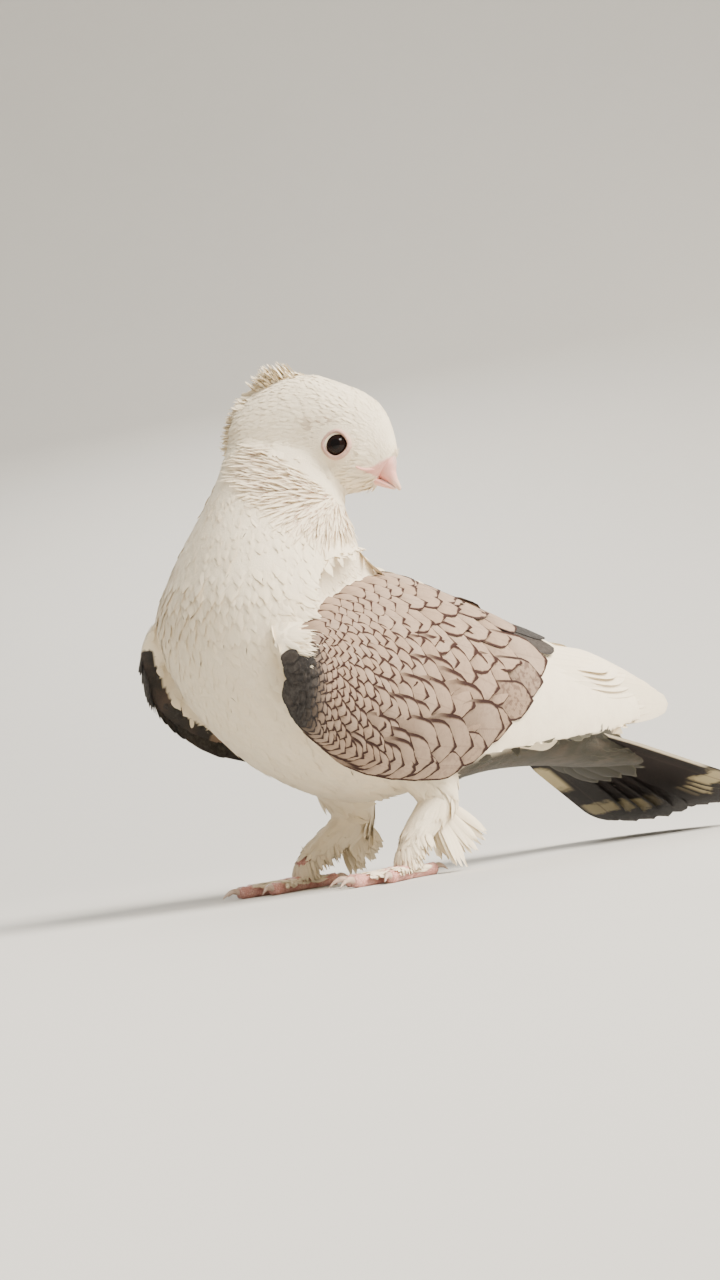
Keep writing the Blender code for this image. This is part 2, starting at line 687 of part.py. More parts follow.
def coverts(side):
    """The laced feathers: rows of shingled vanes, each row rooted under the tips of the one ahead."""
    made = []
    for row, (place, count, length, width) in enumerate(COVERTS):
        for i in range(count):
            down = (i + 0.5 + 0.22 * (row % 2)) / (count + 0.22)
            along = 0.03 + place * (SHIELD_TOP - (SHIELD_TOP - SHIELD_LOW) * down - 0.03)
            root = wing_point(along, down, -COVERT_SINK)
            ahead = wing_point(along + 0.06, down) - wing_point(along, down)
            out = wing_normal(along + 0.04, down)
            size = CHANCE.uniform(0.94, 1.06)
            rise = (COVERT_SINK + COVERT_RISE) / length
            ahead = ahead.normalized() + out * rise
            root, ahead, out = on_side(root, side), turned(ahead, side), turned(out, side)
            made.append(vane(f"covert_{row}_{i}", root, ahead, out, length * size, width * size, bend=0.0006,
                             sway=CHANCE.uniform(-0.0008, 0.0008), roll=side * SHINGLE))
    return made


def turned(direction, side):
    """A right-wing direction on either side of the bird."""
    return Vector((direction.x, side * direction.y, direction.z + side * WING_TILT * direction.y))


def flight_base(side):
    """The block just behind the shield that the flight feathers' quills run into."""
    rings = []
    for i in range(9):
        along = 0.34 + 0.62 * i / 8
        outer = [on_side(wing_point(along, down, -FLIGHT_SINK), side) for down in FLIGHT_DOWNS]
        inner = [on_side(wing_point(along, down) + FLIGHT_IN * 0.85, side) for down in FLIGHT_DOWNS[::-1]]
        rings.append(outer + inner)
    front, rear = (sum(ring, Vector()) / len(ring) for ring in (rings[0], rings[-1]))
    return shield_end(loft("flight_base", rings, front, rear), True, QUILL_BASE)


def flights(side):
    """The flight feathers: long vanes with stepped tips, the longest and lowest one deepest in the stack."""
    made = []
    for i in range(PRIMARIES):
        share = i / (PRIMARIES - 1)
        depth = 0.0015 + PRIMARY_PITCH * (PRIMARIES - 1 - i)
        down = 0.79 - 0.58 * share
        root = wing_point(0.36 + 0.32 * share, down, -depth)
        tip = WING_TIP + PRIMARY_STEP * i
        out = turned(wing_normal(0.75, down), side)
        root, tip = on_side(root, side), on_side(tip, side)
        made.append(vane(f"primary_{i}", root, tip - root, out, (tip - root).length, PRIMARY_WIDTH,
                         FLIGHT_THICK, blunt=0.86, stations=QUILL_STATIONS))
    return made


def tail_frame():
    """The tail's directions: along it, out of its upper face, and across it to the right."""
    flat = Vector((math.cos(TAIL_YAW), math.sin(TAIL_YAW), 0))
    along = flat * math.cos(TAIL_PITCH) + Vector((0, 0, math.sin(TAIL_PITCH)))
    across = Vector((-flat.y, flat.x, 0))
    up = along.cross(across)
    turned = across * math.cos(TAIL_ROLL) - up * math.sin(TAIL_ROLL)
    return along, along.cross(turned), turned


def rectrices():
    """The tail feathers: a low fan, the middle ones on top and each one outward a step lower."""
    along, up, across = tail_frame()
    made = []
    half = TAIL_FEATHERS // 2
    for i in range(TAIL_FEATHERS):
        share = 2 * i / (TAIL_FEATHERS - 1) - 1
        level = (half - i - 0.5 if i < half else i - half) * TAIL_STACK
        angle = TAIL_FAN * share
        direction = along * math.cos(angle) + across * math.sin(angle)
        root = TAIL_ROOT + across * (TAIL_SPREAD * share) - up * level
        length = TAIL_LENGTH - TAIL_OUTER_LESS * abs(share) ** 3
        made.append(vane(f"tail_feather_{i}", root, direction, up, length, TAIL_WIDTH, FLIGHT_THICK,
                         blunt=0.86, stations=QUILL_STATIONS))
    return made


def tail_coverts():
    """Shorter feathers over and under the roots of the tail feathers."""
    along, up, across = tail_frame()
    made = []
    for rows, sign, depth in ((UPPERTAIL, 1, 0.0016), (UNDERTAIL, -1, 0.0082)):
        for row, (start, count, length, width) in enumerate(rows):
            for i in range(count):
                share = 2 * (i + 0.5) / count - 1
                direction = along + across * (0.30 * share) + up * (sign * 0.02)
                root = TAIL_ROOT + along * (0.020 + start) + across * (0.014 * share)
                root += up * (sign * (depth + 0.0012 * abs(share) + 0.0016 * row))
                made.append(vane(f"tail_covert_{sign}_{row}_{i}", root, direction, up * sign, length, width,
                                 roll=0.06 * (1 if i % 2 else -1), blunt=0.7))
    return made


def surface_of(thing):
    """What the places of the locks are found on."""
    shaped = bmesh.new()
    shaped.from_mesh(thing.data)
    tree = BVHTree.FromBMesh(shaped)
    shaped.free()
    return tree


def crest_locks():
    """The ragged peak over the back of the head: upright locks in rows, curling forward at their tips."""
    made = []
    for row, (a, b, count, spread, lean, length) in enumerate(CREST):
        for i in range(count):
            share = 2 * i / (count - 1) - 1
            lean_now = math.radians(lean + CHANCE.uniform(-8, 8))
            root = head_point(a + 0.0015 * share**2, b - 0.0030 * share**2, spread * share)
            aside = 0.40 * share + CHANCE.uniform(-0.1, 0.1)
            along = head_direction(-math.sin(lean_now), math.cos(lean_now), aside)
            out = head_direction(-math.cos(lean_now), -math.sin(lean_now), 0)
            size = length * CHANCE.uniform(0.85, 1.1)
            curl, sway = -CHANCE.uniform(0.0012, 0.0026), CHANCE.uniform(-0.0010, 0.0010)
            roll = CHANCE.uniform(-CREST_ROLL, CREST_ROLL)
            made.append(vane(f"crest_{row}_{i}", root, along, out, size, CREST_WIDTH, CREST_THICK,
                             bend=curl, sway=sway, blunt=0.5, roll=roll))
    return made


def frill_locks(thing, rows, centre_x):
    """Rows of raised feathers that part from the frill's middle line and curl away at their tips."""
    tree = surface_of(thing)
    made = []
    for row, (height, headings, length) in enumerate(rows):
        middle = sum(headings) / len(headings)
        for heading in headings:
            angle = math.radians(heading + CHANCE.uniform(-3, 3))
            outward = Vector((math.cos(angle), math.sin(angle), 0))
            level = Vector((centre_x, 0, height + CHANCE.uniform(-0.001, 0.001)))
            place, normal, _, _ = tree.ray_cast(level + outward * 0.2, -outward)
            aside = Vector((-math.sin(angle), math.cos(angle), 0)) * ((heading - middle) / 40)
            along = Vector((0, 0, -1)) + aside
            along = (along - normal * along.dot(normal)).normalized() + normal * FRILL_RISE
            size, sway = length * CHANCE.uniform(0.9, 1.1), CHANCE.uniform(-0.001, 0.001)
            roll = CHANCE.uniform(-0.12, 0.12)
            made.append(vane(f"frill_{row}_{heading}", place - normal * FRILL_SINK, along, normal, size,
                             FRILL_WIDTH, LOCK_THICK, bend=-0.0006, sway=sway, blunt=0.5, roll=roll))
    return made


def clear_of_wings(locks):
    """The locks with whatever reaches into the wings' front edges taken off."""
    kept = []
    for lock in locks:
        trimmed = cut(lock, [wing_form("clear", side, FRILL_CLEAR) for side in (-1, 1)])
        if trimmed.data.polygons:
            kept.append(trimmed)
        else:
            bpy.data.objects.remove(trimmed, do_unlink=True)
    return kept


def hanging_locks(name, form, centre, low, count, length, width, start, end, flare):
    """Flat tapered locks round a limb, from rows of places on its surface, hanging down and out."""
    tree = surface_of(form)
    made = []
    for i in range(count):
        angle = math.radians(start + (end - start) * i / max(1, count - 1) + CHANCE.uniform(-6, 6))
        outward = Vector((math.cos(angle), math.sin(angle), 0))
        level = centre + Vector((0, 0, low * (0.6 + 0.4 * (i % 2))))
        place, normal, _, _ = tree.ray_cast(level + outward * 0.1, -outward)
        if place is None:
            continue
        along = Vector((0, 0, -1)) + outward * flare * CHANCE.uniform(0.8, 1.2)
        size = length * CHANCE.uniform(0.85, 1.1)
        bend, sway = CHANCE.uniform(-0.0002, 0.0008), CHANCE.uniform(-0.0008, 0.0008)
        made.append(vane(f"{name}_{i}", place - normal * 0.0016, along, outward, size, width, LOCK_THICK,
                         bend=bend, sway=sway, blunt=0.4))
    return made


def muff(name, leg, side):
    """The tuft of long curled feathers behind and outside the hock, like a paddle with fingers at its end."""
    _, hock, ankle = leg_places(leg, side)
    made = []
    for i in range(MUFF_LOCKS):
        share = i / (MUFF_LOCKS - 1)
        fall = math.radians(34.0 + 40.0 * share)
        root = hock.lerp(ankle, 0.22 + 0.2 * share) + Vector((0, side * 0.0015, 0))
        along = Vector((math.cos(fall), side * (0.30 + 0.10 * (i % 2)), -math.sin(fall)))
        size, roll = MUFF_LENGTH * CHANCE.uniform(0.92, 1.05), CHANCE.uniform(-0.12, 0.12)
        made.append(vane(f"{name}_{i}", root, along, Vector((0, side, 0.2)), size, MUFF_WIDTH, CREST_THICK,
                         bend=0.0018, sway=-side * 0.0015, blunt=0.5, roll=roll))
    return made


def limb(name, stations, around=12, grow=0.0):
    """A round limb through places with a forward and a sideways radius."""
    rings = []
    places = [Vector(s[0]) for s in stations]
    for i, (place, depth, breadth) in enumerate(stations):
        ahead = (places[min(i + 1, len(places) - 1)] - places[max(i - 1, 0)]).normalized()
        front = ahead.cross(Vector((0, 1, 0))).normalized()
        side = front.cross(ahead).normalized()
        ring = []
        for j in range(around):
            angle = 2 * math.pi * j / around
            reach = front * ((depth + grow) * math.cos(angle)) + side * ((breadth + grow) * math.sin(angle))
            ring.append(Vector(place) + reach)
        rings.append(ring)
    first = places[0] + (places[0] - places[1]).normalized() * (0.3 * stations[0][1] + grow)
    last = places[-1] + (places[-1] - places[-2]).normalized() * (0.3 * stations[-1][1] + grow)
    return loft(name, rings, first, last)


def leg_places(leg, side):
    return [Vector((leg[k][0], side * leg[k][1], leg[k][2])) for k in ("hip", "hock", "ankle")]


def thigh(name, leg, side, grow=0.0):
    hip, hock, _ = leg_places(leg, side)
    return limb(name, [(hip.lerp(hock, t), depth, breadth) for t, depth, breadth in THIGH], grow=grow)


def shank(name, leg, side, grow=0.0):
    _, hock, ankle = leg_places(leg, side)
    return limb(name, [(hock.lerp(ankle, t), depth, breadth) for t, depth, breadth in SHANK], grow=grow)


def foot_pieces(name, leg, side, grow=0.0):
    """The ankle and the toes: three ahead and one behind."""
    _, hock, ankle = leg_places(leg, side)
    low = Vector((ankle.x - 0.001, ankle.y, 0.0030))
    stations = ((ankle.lerp(hock, 0.30), 0.0030, 0.0030), (ankle, 0.0034, 0.0034), (low, 0.0034, 0.0038))
    parts = [limb(name + "_ankle", stations, around=10, grow=grow)]
    for toe, ahead, length in toes(leg, side):
        sole = Vector((low.x, low.y, SOLE_HEIGHT))
        stations = []
        for t, swell in TOE_SWELLS:
            stations.append((sole + ahead * (length * t), TOE_RADIUS * swell, TOE_RADIUS * swell))
        parts.append(limb(f"{name}_{toe}", stations, around=7, grow=grow))
    return parts


def toes(leg, side):
    """Each toe's name, direction and length."""
    heading = math.radians(180.0 - side * leg["turn"])
    for toe, turn, length in TOES:
        angle = heading - side * math.radians(turn)
        yield toe, Vector((math.cos(angle), math.sin(angle), 0)), length


def foot(name, leg, side):
    """A foot with flat soles, and its claws as separate nodes."""
    _, _, ankle = leg_places(leg, side)
    made = sliced(joined(name, foot_pieces(name, leg, side)), Vector((0, 0, 0)), Vector((0, 0, -1)))
    claws = []
    for toe, ahead, length in toes(leg, side):
        reach = length + 0.3 * TOE_RADIUS * TOE_SWELLS[-1][1] + GAP
        root = Vector((ankle.x - 0.001, ankle.y, SOLE_HEIGHT)) + ahead * reach
        claws.append(claw(f"claw_{name[5:]}_{toe}", root, ahead))
    return made, claws


def claw(name, root, ahead):
    """A curved nail that starts just clear of its toe's end."""
    rings = []
    side = Vector((-ahead.y, ahead.x, 0))
    for t, radius in CLAW:
        height = CLAW_ARCH * math.sin(math.pi * t) - CLAW_DROP * t
        middle = root + ahead * (CLAW_LENGTH * t) + Vector((0, 0, height))
        ring = []
        for j in range(6):
            angle = 2 * math.pi * j / 6
            aside = side * (radius * 0.8 * math.cos(angle))
            ring.append(middle + aside + Vector((0, 0, radius * math.sin(angle))))
        rings.append(ring)
    first = sum(rings[0], Vector()) / 6
    return loft(name, rings, first, sum(rings[-1], Vector()) / 6 + ahead * 0.0003)


def parted(whole, name, above=None, below=None):
    """A length of the whole bird between two cut lines, each line given by two places in the middle plane."""
    made = copy_of(whole, name)
    for line, sign in ((above, -1), (below, 1)):
        if line is None:
            continue
        start, end = Vector((line[0][0], 0, line[0][1])), Vector((line[1][0], 0, line[1][1]))
        normal = (end - start).cross(Vector((0, 1, 0))).normalized()
        if normal.z < 0:
            normal = -normal
        made = sliced(made, start - normal * (sign * GAP / 2), normal * sign)
    return made


def leg_nodes(label, side, leg):
    """The thigh, shank, foot and claws of one leg, each with its own feathers."""
    hip, hock, ankle = leg_places(leg, side)
    upper = thigh("thigh_form", leg, side)
    locks = hanging_locks("thigh_lock", upper, hip.lerp(hock, 0.66), 0.004, THIGH_LOCKS, THIGH_LOCK_LENGTH,
                          THIGH_LOCK_WIDTH, -150, 170, 0.10)
    upper = joined("thigh_" + label, [upper] + locks)
    shank_form = shank("shank_form", leg, side)
    locks = hanging_locks("shank_lock", shank_form, hock.lerp(ankle, 0.55), 0.003, SHANK_LOCKS,
                          SHANK_LOCK_LENGTH, SHANK_LOCK_WIDTH, -170, 150, 0.32)
    lower = joined("shank_" + label, [shank_form] + locks + muff("muff", leg, side))
    lower = sliced(lower, Vector((0, 0, FEATHER_FLOOR)), Vector((0, 0, -1)))
    lower = cut(lower, foot_pieces("ankle_hole", leg, side, GAP))
    upper = cut(upper, [shank("hock_hole", leg, side, GAP), body_form(BODY_ROWS, BODY_AROUND, GAP)])
    foot_made, claws = foot("foot_" + label, leg, side)
    nodes = [finish(upper, "white_plumage"), finish(lower, "white_plumage"), finish(foot_made, "leg_skin")]
    return nodes + [finish(nail, "claw_horn") for nail in claws]


def settle(nodes):
    """Moves the whole bird so that the middle of its box stands over the origin and its soles at zero."""
    corners = [v.co for node in nodes for v in node.data.vertices]
    low = Vector([min(c[i] for c in corners) for i in range(3)])
    high = Vector([max(c[i] for c in corners) for i in range(3)])
    shift = Vector(((low.x + high.x) / 2, (low.y + high.y) / 2, low.z))
    for node in nodes:
        for v in node.data.vertices:
            v.co -= shift


def main():
    clear_scene()
    sides = (("left", -1, LEFT_LEG), ("right", 1, RIGHT_LEG))
    whole = joined("whole", [body_form(BODY_ROWS, BODY_AROUND), head_form(13, 16)])
    cutters = []
    for label, side, leg in sides:
        cutters.append(wing_hollow("hollow_" + label, side))
        cutters.append(flight_hollow("flight_hollow_" + label, side))
    whole = cut(whole, cutters)
    tail_core = parted(whole, "tail", below=TAIL_CUT)
    torso = parted(whole, "torso", above=TAIL_CUT, below=NECK_CUT)
    neck = parted(whole, "neck", above=NECK_CUT, below=HEAD_CUT)
    head = parted(whole, "head", above=HEAD_CUT)
    bpy.data.objects.remove(whole, do_unlink=True)
    locks = clear_of_wings(frill_locks(torso, BREAST_FRILL, -0.022))
    nodes = [finish(joined("torso", [torso] + locks), "white_plumage")]
    nodes.append(finish(joined("neck", [neck] + frill_locks(neck, THROAT_FRILL, -0.010)), "white_plumage"))

    along = head_direction(math.cos(BILL_TILT), math.sin(BILL_TILT)).normalized()
    head = sliced(head, head_point(*BILL_ROOT), along)
    head = joined("head", [head] + crest_locks())
    sockets = [ball("socket", eye_place(side), EYE_RADIUS + GAP) for _, side, _ in sides]
    rims = [lid("lid_hole", side, GAP) for _, side, _ in sides]
    mouth = [gape("gape_" + label, head, side) for label, side, _ in sides]
    nodes.append(finish(cut(head, sockets + rims + mouth), "white_plumage"))
    for label, side, _ in sides:
        nodes.append(finish(ball("eye_" + label, eye_place(side), EYE_RADIUS), "eye"))
        nodes.append(finish(lid("lid_" + label, side), "lid_skin"))
    nostrils = [nostril("nostril_" + label, side) for label, side, _ in sides]
    nodes.append(finish(cut(bill_part("bill_upper", UPPER_BILL, GAP), nostrils), "bill_horn"))
    nodes.append(finish(bill_part("bill_lower", LOWER_BILL, GAP), "bill_horn"))
    tail = joined("tail", [tail_core] + rectrices() + tail_coverts())
    nodes.append(finish(tail, "dark_plumage"))
    for label, side, leg in sides:
        shield = shield_end(wing_form("wing_form_" + label, side), True)
        beyond = [cape("cape_" + label, side), half_space((0, side * GAP / 2, 0), (0, -side, 0))]
        shield = cut(joined("wing_" + label, [shield] + coverts(side)), beyond)
        nodes.append(finish(shield, "laced_plumage"))
        quills = joined("primaries_" + label, [flight_base(side)] + flights(side))
        quills = shield_end(cut(quills, [half_space((0, side * GAP / 2, 0), (0, -side, 0))]), False)
        nodes.append(finish(quills, "white_plumage"))
        nodes += leg_nodes(label, side, leg)
    settle(nodes)


main()
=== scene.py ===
"""A small frilled pigeon with laced wing shields: skin, feathers, bill, eyes, feet and studio."""

import math
from collections import namedtuple
from itertools import product

import bmesh
import bpy
import numpy as np
from mathutils import Matrix, Vector
from mathutils.bvhtree import BVHTree
from mathutils.kdtree import KDTree


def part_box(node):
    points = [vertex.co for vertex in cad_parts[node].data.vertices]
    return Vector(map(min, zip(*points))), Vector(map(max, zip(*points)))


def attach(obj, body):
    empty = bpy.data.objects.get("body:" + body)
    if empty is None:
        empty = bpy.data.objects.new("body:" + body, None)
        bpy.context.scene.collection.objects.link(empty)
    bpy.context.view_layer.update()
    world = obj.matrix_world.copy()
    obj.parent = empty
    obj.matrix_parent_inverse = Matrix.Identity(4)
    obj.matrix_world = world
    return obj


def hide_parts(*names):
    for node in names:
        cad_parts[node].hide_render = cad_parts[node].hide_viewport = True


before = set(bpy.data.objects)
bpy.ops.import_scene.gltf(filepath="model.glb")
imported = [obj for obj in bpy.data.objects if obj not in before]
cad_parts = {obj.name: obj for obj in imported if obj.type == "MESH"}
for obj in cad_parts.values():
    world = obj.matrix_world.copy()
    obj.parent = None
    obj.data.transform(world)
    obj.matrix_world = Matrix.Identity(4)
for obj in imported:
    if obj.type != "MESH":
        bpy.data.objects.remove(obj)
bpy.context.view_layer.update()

bl_info = {
    "name": "Laced Pigeon",
    "version": (1, 0, 0),
    "blender": (4, 5, 0),
    "location": "View3D > Sidebar > Pigeon",
    "description": "Builds the skin, plumage, bill, eyes, feet and studio of a small frilled pigeon",
    "category": "Object",
}

SEED = 11

# The bird's own frame, for all places below: it faces -X, its left is towards -Y, the floor is at zero
# Body from the tail root to the throat: back x, back z, belly or front x, z, half width, middle y,
# turn in degrees
BODY = (
    (0.150, 0.0335, 0.147, 0.0265, 0.0170, 0.005, 0.0),
    (0.128, 0.0450, 0.122, 0.0300, 0.0180, 0.003, 0.0),
    (0.106, 0.0590, 0.095, 0.0325, 0.0205, 0.001, 0.0),
    (0.084, 0.0750, 0.067, 0.0325, 0.0260, 0.000, 0.0),
    (0.060, 0.0930, 0.036, 0.0290, 0.0320, 0.000, 0.0),
    (0.040, 0.1020, 0.006, 0.0285, 0.0370, 0.000, 0.0),
    (0.026, 0.1080, -0.022, 0.0405, 0.0385, 0.000, 0.0),
    (0.018, 0.1130, -0.042, 0.0580, 0.0385, 0.000, 0.0),
    (0.014, 0.1160, -0.054, 0.0770, 0.0375, 0.000, 0.0),
    (0.012, 0.1190, -0.058, 0.0980, 0.0345, 0.000, 0.0),
    (0.011, 0.1240, -0.051, 0.1160, 0.0300, -0.001, -6.0),
    (0.011, 0.1310, -0.041, 0.1320, 0.0245, -0.002, -20.0),
    (0.0115, 0.139, -0.0325, 0.1455, 0.0195, -0.003, -38.0),
    (0.0090, 0.148, -0.0270, 0.1580, 0.0140, -0.004, -50.0),
)
# How square the sections are: two is an ellipse
BODY_FULLNESS, HEAD_FULLNESS, BILL_FULLNESS = 2.3, 2.1, 2.2
# Rings and points round each form, on the skin and on the guides
SKIN_GRID = {"body": (50, 40), "head": (30, 32), "wing": (40, 14), "leg": (20,)}
GUIDE_GRID = {"body": (70, 56), "head": (40, 40), "wing": (44, 18), "leg": (20,)}
# Points along and across each feather of a piece
VANE_GRID = {
    "coat_body": (5, 5), "coat_ruffle": (5, 3), "coat_neck": (5, 3), "coat_head": (4, 3), "crest": (6, 3),
    "coat_cape": (6, 5), "wing_lining": (5, 5), "shield": (9, 9), "flights": (26, 9), "coat_legs": (5, 5),
    "tail_feathers": (30, 9), "tail_coverts": (9, 7), "muffs": (7, 5),
}
# Metres between the roots of neighbouring feathers
BODY_SPACING, BELLY_WIDER, RUFFLE_SPACING, NECK_SPACING = 0.0020, 0.0007, 0.00098, 0.00145
HEAD_SPACING, FACE_CLOSER, LINING_SPACING = 0.00104, 0.00034, 0.0026
THIGH_SPACING, SHANK_SPACING = 0.0019, 0.0014
# The head's own frame: forward (a), up (b) and right (c), measured from midway between the eyes
HEAD_PLACE = Vector((0.005, -0.016, 0.1545))
HEAD_TURN = math.radians(-50.0)
# Head from the back to the bill: top a, b, bottom a, b, half width
HEAD = (
    (-0.0365, 0.0070, -0.0350, -0.0010, 0.0075),
    (-0.0320, 0.0155, -0.0285, -0.0095, 0.0135),
    (-0.0235, 0.0218, -0.0190, -0.0165, 0.0156),
    (-0.0130, 0.0250, -0.0095, -0.0182, 0.0158),
    (-0.0020, 0.0236, -0.0010, -0.0200, 0.0156),
    (0.0070, 0.0192, 0.0055, -0.0202, 0.0146),
    (0.0142, 0.0148, 0.0100, -0.0200, 0.0124),
    (0.0195, 0.0094, 0.0130, -0.0196, 0.0098),
    (0.0222, 0.0020, 0.0150, -0.0192, 0.0076),
    (0.0231, -0.0060, 0.0165, -0.0196, 0.0062),
    (0.0232, -0.0120, 0.0185, -0.0205, 0.0045),
)
# An eye's place on the head: forward, up; and how far out
EYE_AT = (0.0039, -0.0043)
EYE_OUT = 0.0102
BILL_ROOT = (0.0182, -0.0140)
BILL_TILT = math.radians(-43.0)
# Along the bill from its root: distance, top, bottom, half width
UPPER_BILL = (
    (0.0000, 0.0064, -0.0039, 0.0048),
    (0.0019, 0.0046, -0.0036, 0.0042),
    (0.0037, 0.0019, -0.0034, 0.0032),
    (0.0059, -0.0001, -0.0033, 0.0021),
    (0.0078, -0.0013, -0.0034, 0.0012),
    (0.0091, -0.0022, -0.0034, 0.0005),
)
LOWER_BILL = (
    (0.0000, -0.0039, -0.0066, 0.0043),
    (0.0020, -0.0036, -0.0060, 0.0036),
    (0.0042, -0.0034, -0.0052, 0.0026),
    (0.0060, -0.0034, -0.0045, 0.0016),
    (0.0070, -0.0035, -0.0040, 0.0008),
)
# Folded wing, right side: top x, y, z, low x, y, z, bulge, thickness
WING = (
    (-0.050, 0.0330, 0.0880, -0.0500, 0.0360, 0.0740, 0.0060, 0.0090),
    (-0.044, 0.0285, 0.0975, -0.0450, 0.0385, 0.0615, 0.0140, 0.0150),
    (-0.027, 0.0195, 0.1075, -0.0290, 0.0400, 0.0500, 0.0190, 0.0160),
    (-0.003, 0.0090, 0.1130, -0.0060, 0.0395, 0.0445, 0.0200, 0.0140),
    (0.024, 0.0035, 0.1120, 0.0200, 0.0370, 0.0430, 0.0180, 0.0110),
    (0.050, 0.0012, 0.1050, 0.0470, 0.0325, 0.0440, 0.0140, 0.0085),
    (0.076, 0.0010, 0.0950, 0.0750, 0.0275, 0.0445, 0.0090, 0.0070),
    (0.102, 0.0012, 0.0840, 0.1020, 0.0220, 0.0445, 0.0050, 0.0062),
    (0.124, 0.0020, 0.0740, 0.1220, 0.0170, 0.0450, 0.0030, 0.0058),
    (0.144, 0.0045, 0.0640, 0.1430, 0.0130, 0.0470, 0.0015, 0.0055),
)
# A wing's least depth at its edges, on the skin and on the room cut for it
WING_EDGE, BED_EDGE = 0.0015, 0.0004
# How far back the left wrist stands, and from where and over what length this fades out
WRIST_BACK = 0.0045
WRIST_FADE = (0.050, 0.090)
# How far below its top edge a wing is fullest, and how much higher the right one is carried
WING_SWELL = 0.30
WING_TILT = 0.18
# The edge of the white cape over the right shield, the way it faces, and the room kept over the wing
CAPE_EDGE = (Vector((0.022, 0.012, 0.115)), Vector((-0.044, 0.042, 0.082)))
CAPE_OUT = Vector((-0.30, 0.24, 0.92))
BED_OUT = Vector((0.0, 0.011, 0.009))
# Where the neck meets the top of each folded wing, so the feathers lie close
SHOULDER_TOP = Vector((0.001, 0.031, 0.113))
# Below these heights the wings' fronts show, on the left and the right
CAPE_LOWEST = {-1: 0.078, 1: 0.090}
# How far the laced feathers reach along the wing: height on it from its top edge, place along it
SHIELD_REACH = ((0.0, 0.79), (0.1, 0.76), (0.3, 0.69), (0.5, 0.66), (0.75, 0.62), (0.9, 0.57), (1.0, 0.53))
SHIELD_START, SHIELD_LENGTH = 0.012, 0.140
# Metres along the wing for one whole step of its place
WING_REACH = 0.205
# The share of a wing's height left free below its top edge, and the widest step between rows
RIDGE_CLEAR = 0.03
LARGEST_PITCH = 0.0160
# The last long feathers: tip's place along, height, length, width, darkness, streaks
SHIELD_ENDS = (
    (0.805, 0.14, 0.036, 0.0115, 1.0, 0.0),
    (0.800, 0.27, 0.036, 0.0130, 0.95, 0.0),
    (0.755, 0.45, 0.044, 0.0190, 0.0, 0.15),
    (0.712, 0.62, 0.040, 0.0155, 0.22, 1.0),
    (0.665, 0.75, 0.036, 0.0145, 0.1, 0.9),
    (0.600, 0.86, 0.034, 0.0140, 0.0, 0.5),
    (0.540, 0.95, 0.034, 0.0130, 0.0, 0.4),
    (0.480, 1.00, 0.034, 0.0115, 0.0, 0.4),
    (0.420, 1.00, 0.032, 0.0110, 0.0, 0.3),
    (0.360, 1.00, 0.030, 0.0105, 0.0, 0.3),
    (0.300, 1.00, 0.027, 0.0100, 0.0, 0.3),
)
# The crest along the back of the head: forward, up
CREST_ARC = ((-0.0085, 0.0240), (-0.0190, 0.0228), (-0.0275, 0.0180), (-0.0340, 0.0115), (-0.0372, 0.0035))
# Its clumps: place on the arc, size, aside, feathers
CREST_CLUMPS = (
    (0.00, 0.45, 0.003, 14), (0.06, 0.62, -0.004, 16), (0.13, 0.90, 0.002, 22), (0.20, 1.00, -0.001, 26),
    (0.26, 0.85, 0.005, 20), (0.30, 0.80, -0.005, 18), (0.37, 0.62, 0.001, 18), (0.45, 0.74, -0.006, 18),
    (0.50, 0.60, 0.006, 16), (0.57, 0.66, -0.002, 20), (0.66, 0.52, 0.005, 16), (0.70, 0.62, -0.006, 18),
    (0.79, 0.55, 0.001, 18), (0.88, 0.46, -0.005, 14), (0.95, 0.50, 0.004, 16), (1.00, 0.42, -0.001, 16),
)
# Round an eye from its rim outward: radius, height along the eye's axis
LID_PROFILE = (
    (0.0035, 0.0016), (0.0036, 0.0034), (0.0038, 0.0044), (0.0041, 0.0048), (0.0045, 0.0047),
    (0.0049, 0.0043), (0.0052, 0.0035), (0.0050, 0.0022),
)
# The line of the mouth behind the bill: its two ends, forward and up
GAPE = ((0.0096, -0.0132), (0.0172, -0.0166))
# Over and under the tail's root: side, rows, first, length, width, depth, feathers in a row, pitch, spread
TAIL_COVERTS = (
    (1, 4, 0.002, 0.022, 0.0105, 0.0016, 4, 0.012, 0.0100),
    (-1, 5, -0.006, 0.025, 0.0115, 0.0066, 5, 0.010, 0.0105),
)
# How far each leg's tuft stands out, fans out and how long it is
MUFFS = {-1: (0.34, 44.0, 1.0), 1: (0.14, 36.0, 0.82)}
# No feather on the legs hangs lower than this
LOWEST_FEATHER = 0.0012
# The lowest and longest flight feather's tip, and from there to the highest one's
WING_TIP = Vector((0.1660, 0.0060, 0.0518))
PRIMARY_STEP = Vector((-0.0340, 0.0048, 0.0184))
# The tail hangs, swings to the right and rolls; its feathers fan and stack towards the middle
TAIL_ROOT = Vector((0.096, 0.000, 0.0516))
TAIL_PITCH = math.radians(-22.5)
TAIL_YAW = math.radians(8.0)
TAIL_ROLL = math.radians(8.0)
TAIL_FAN = math.radians(13.0)
TAIL_SPREAD = 0.0085
TAIL_LENGTH = 0.112
TAIL_OUTER_LESS = 0.013
TAIL_WIDTH = 0.0165
TAIL_FEATHERS = 12
TAIL_STACK = 0.0009
LEGS = {
    -1: {
        "hip": (0.019, 0.021, 0.050),
        "hock": (0.025, 0.025, 0.026),
        "ankle": (0.008, 0.0235, 0.0095),
        "turn": 8.0,
    },
    1: {
        "hip": (0.016, 0.020, 0.048),
        "hock": (0.025, 0.022, 0.0225),
        "ankle": (-0.002, 0.022, 0.0090),
        "turn": 6.0,
    },
}
# From the hip to the ankle: share of the thigh or the shank, depth, breadth
THIGH = ((0.0, 0.0155, 0.0110), (0.5, 0.0135, 0.0100), (0.82, 0.0100, 0.0082))
SHANK = ((0.0, 0.0072, 0.0064), (0.35, 0.0066, 0.0062), (0.70, 0.0058, 0.0060), (0.95, 0.0044, 0.0046))
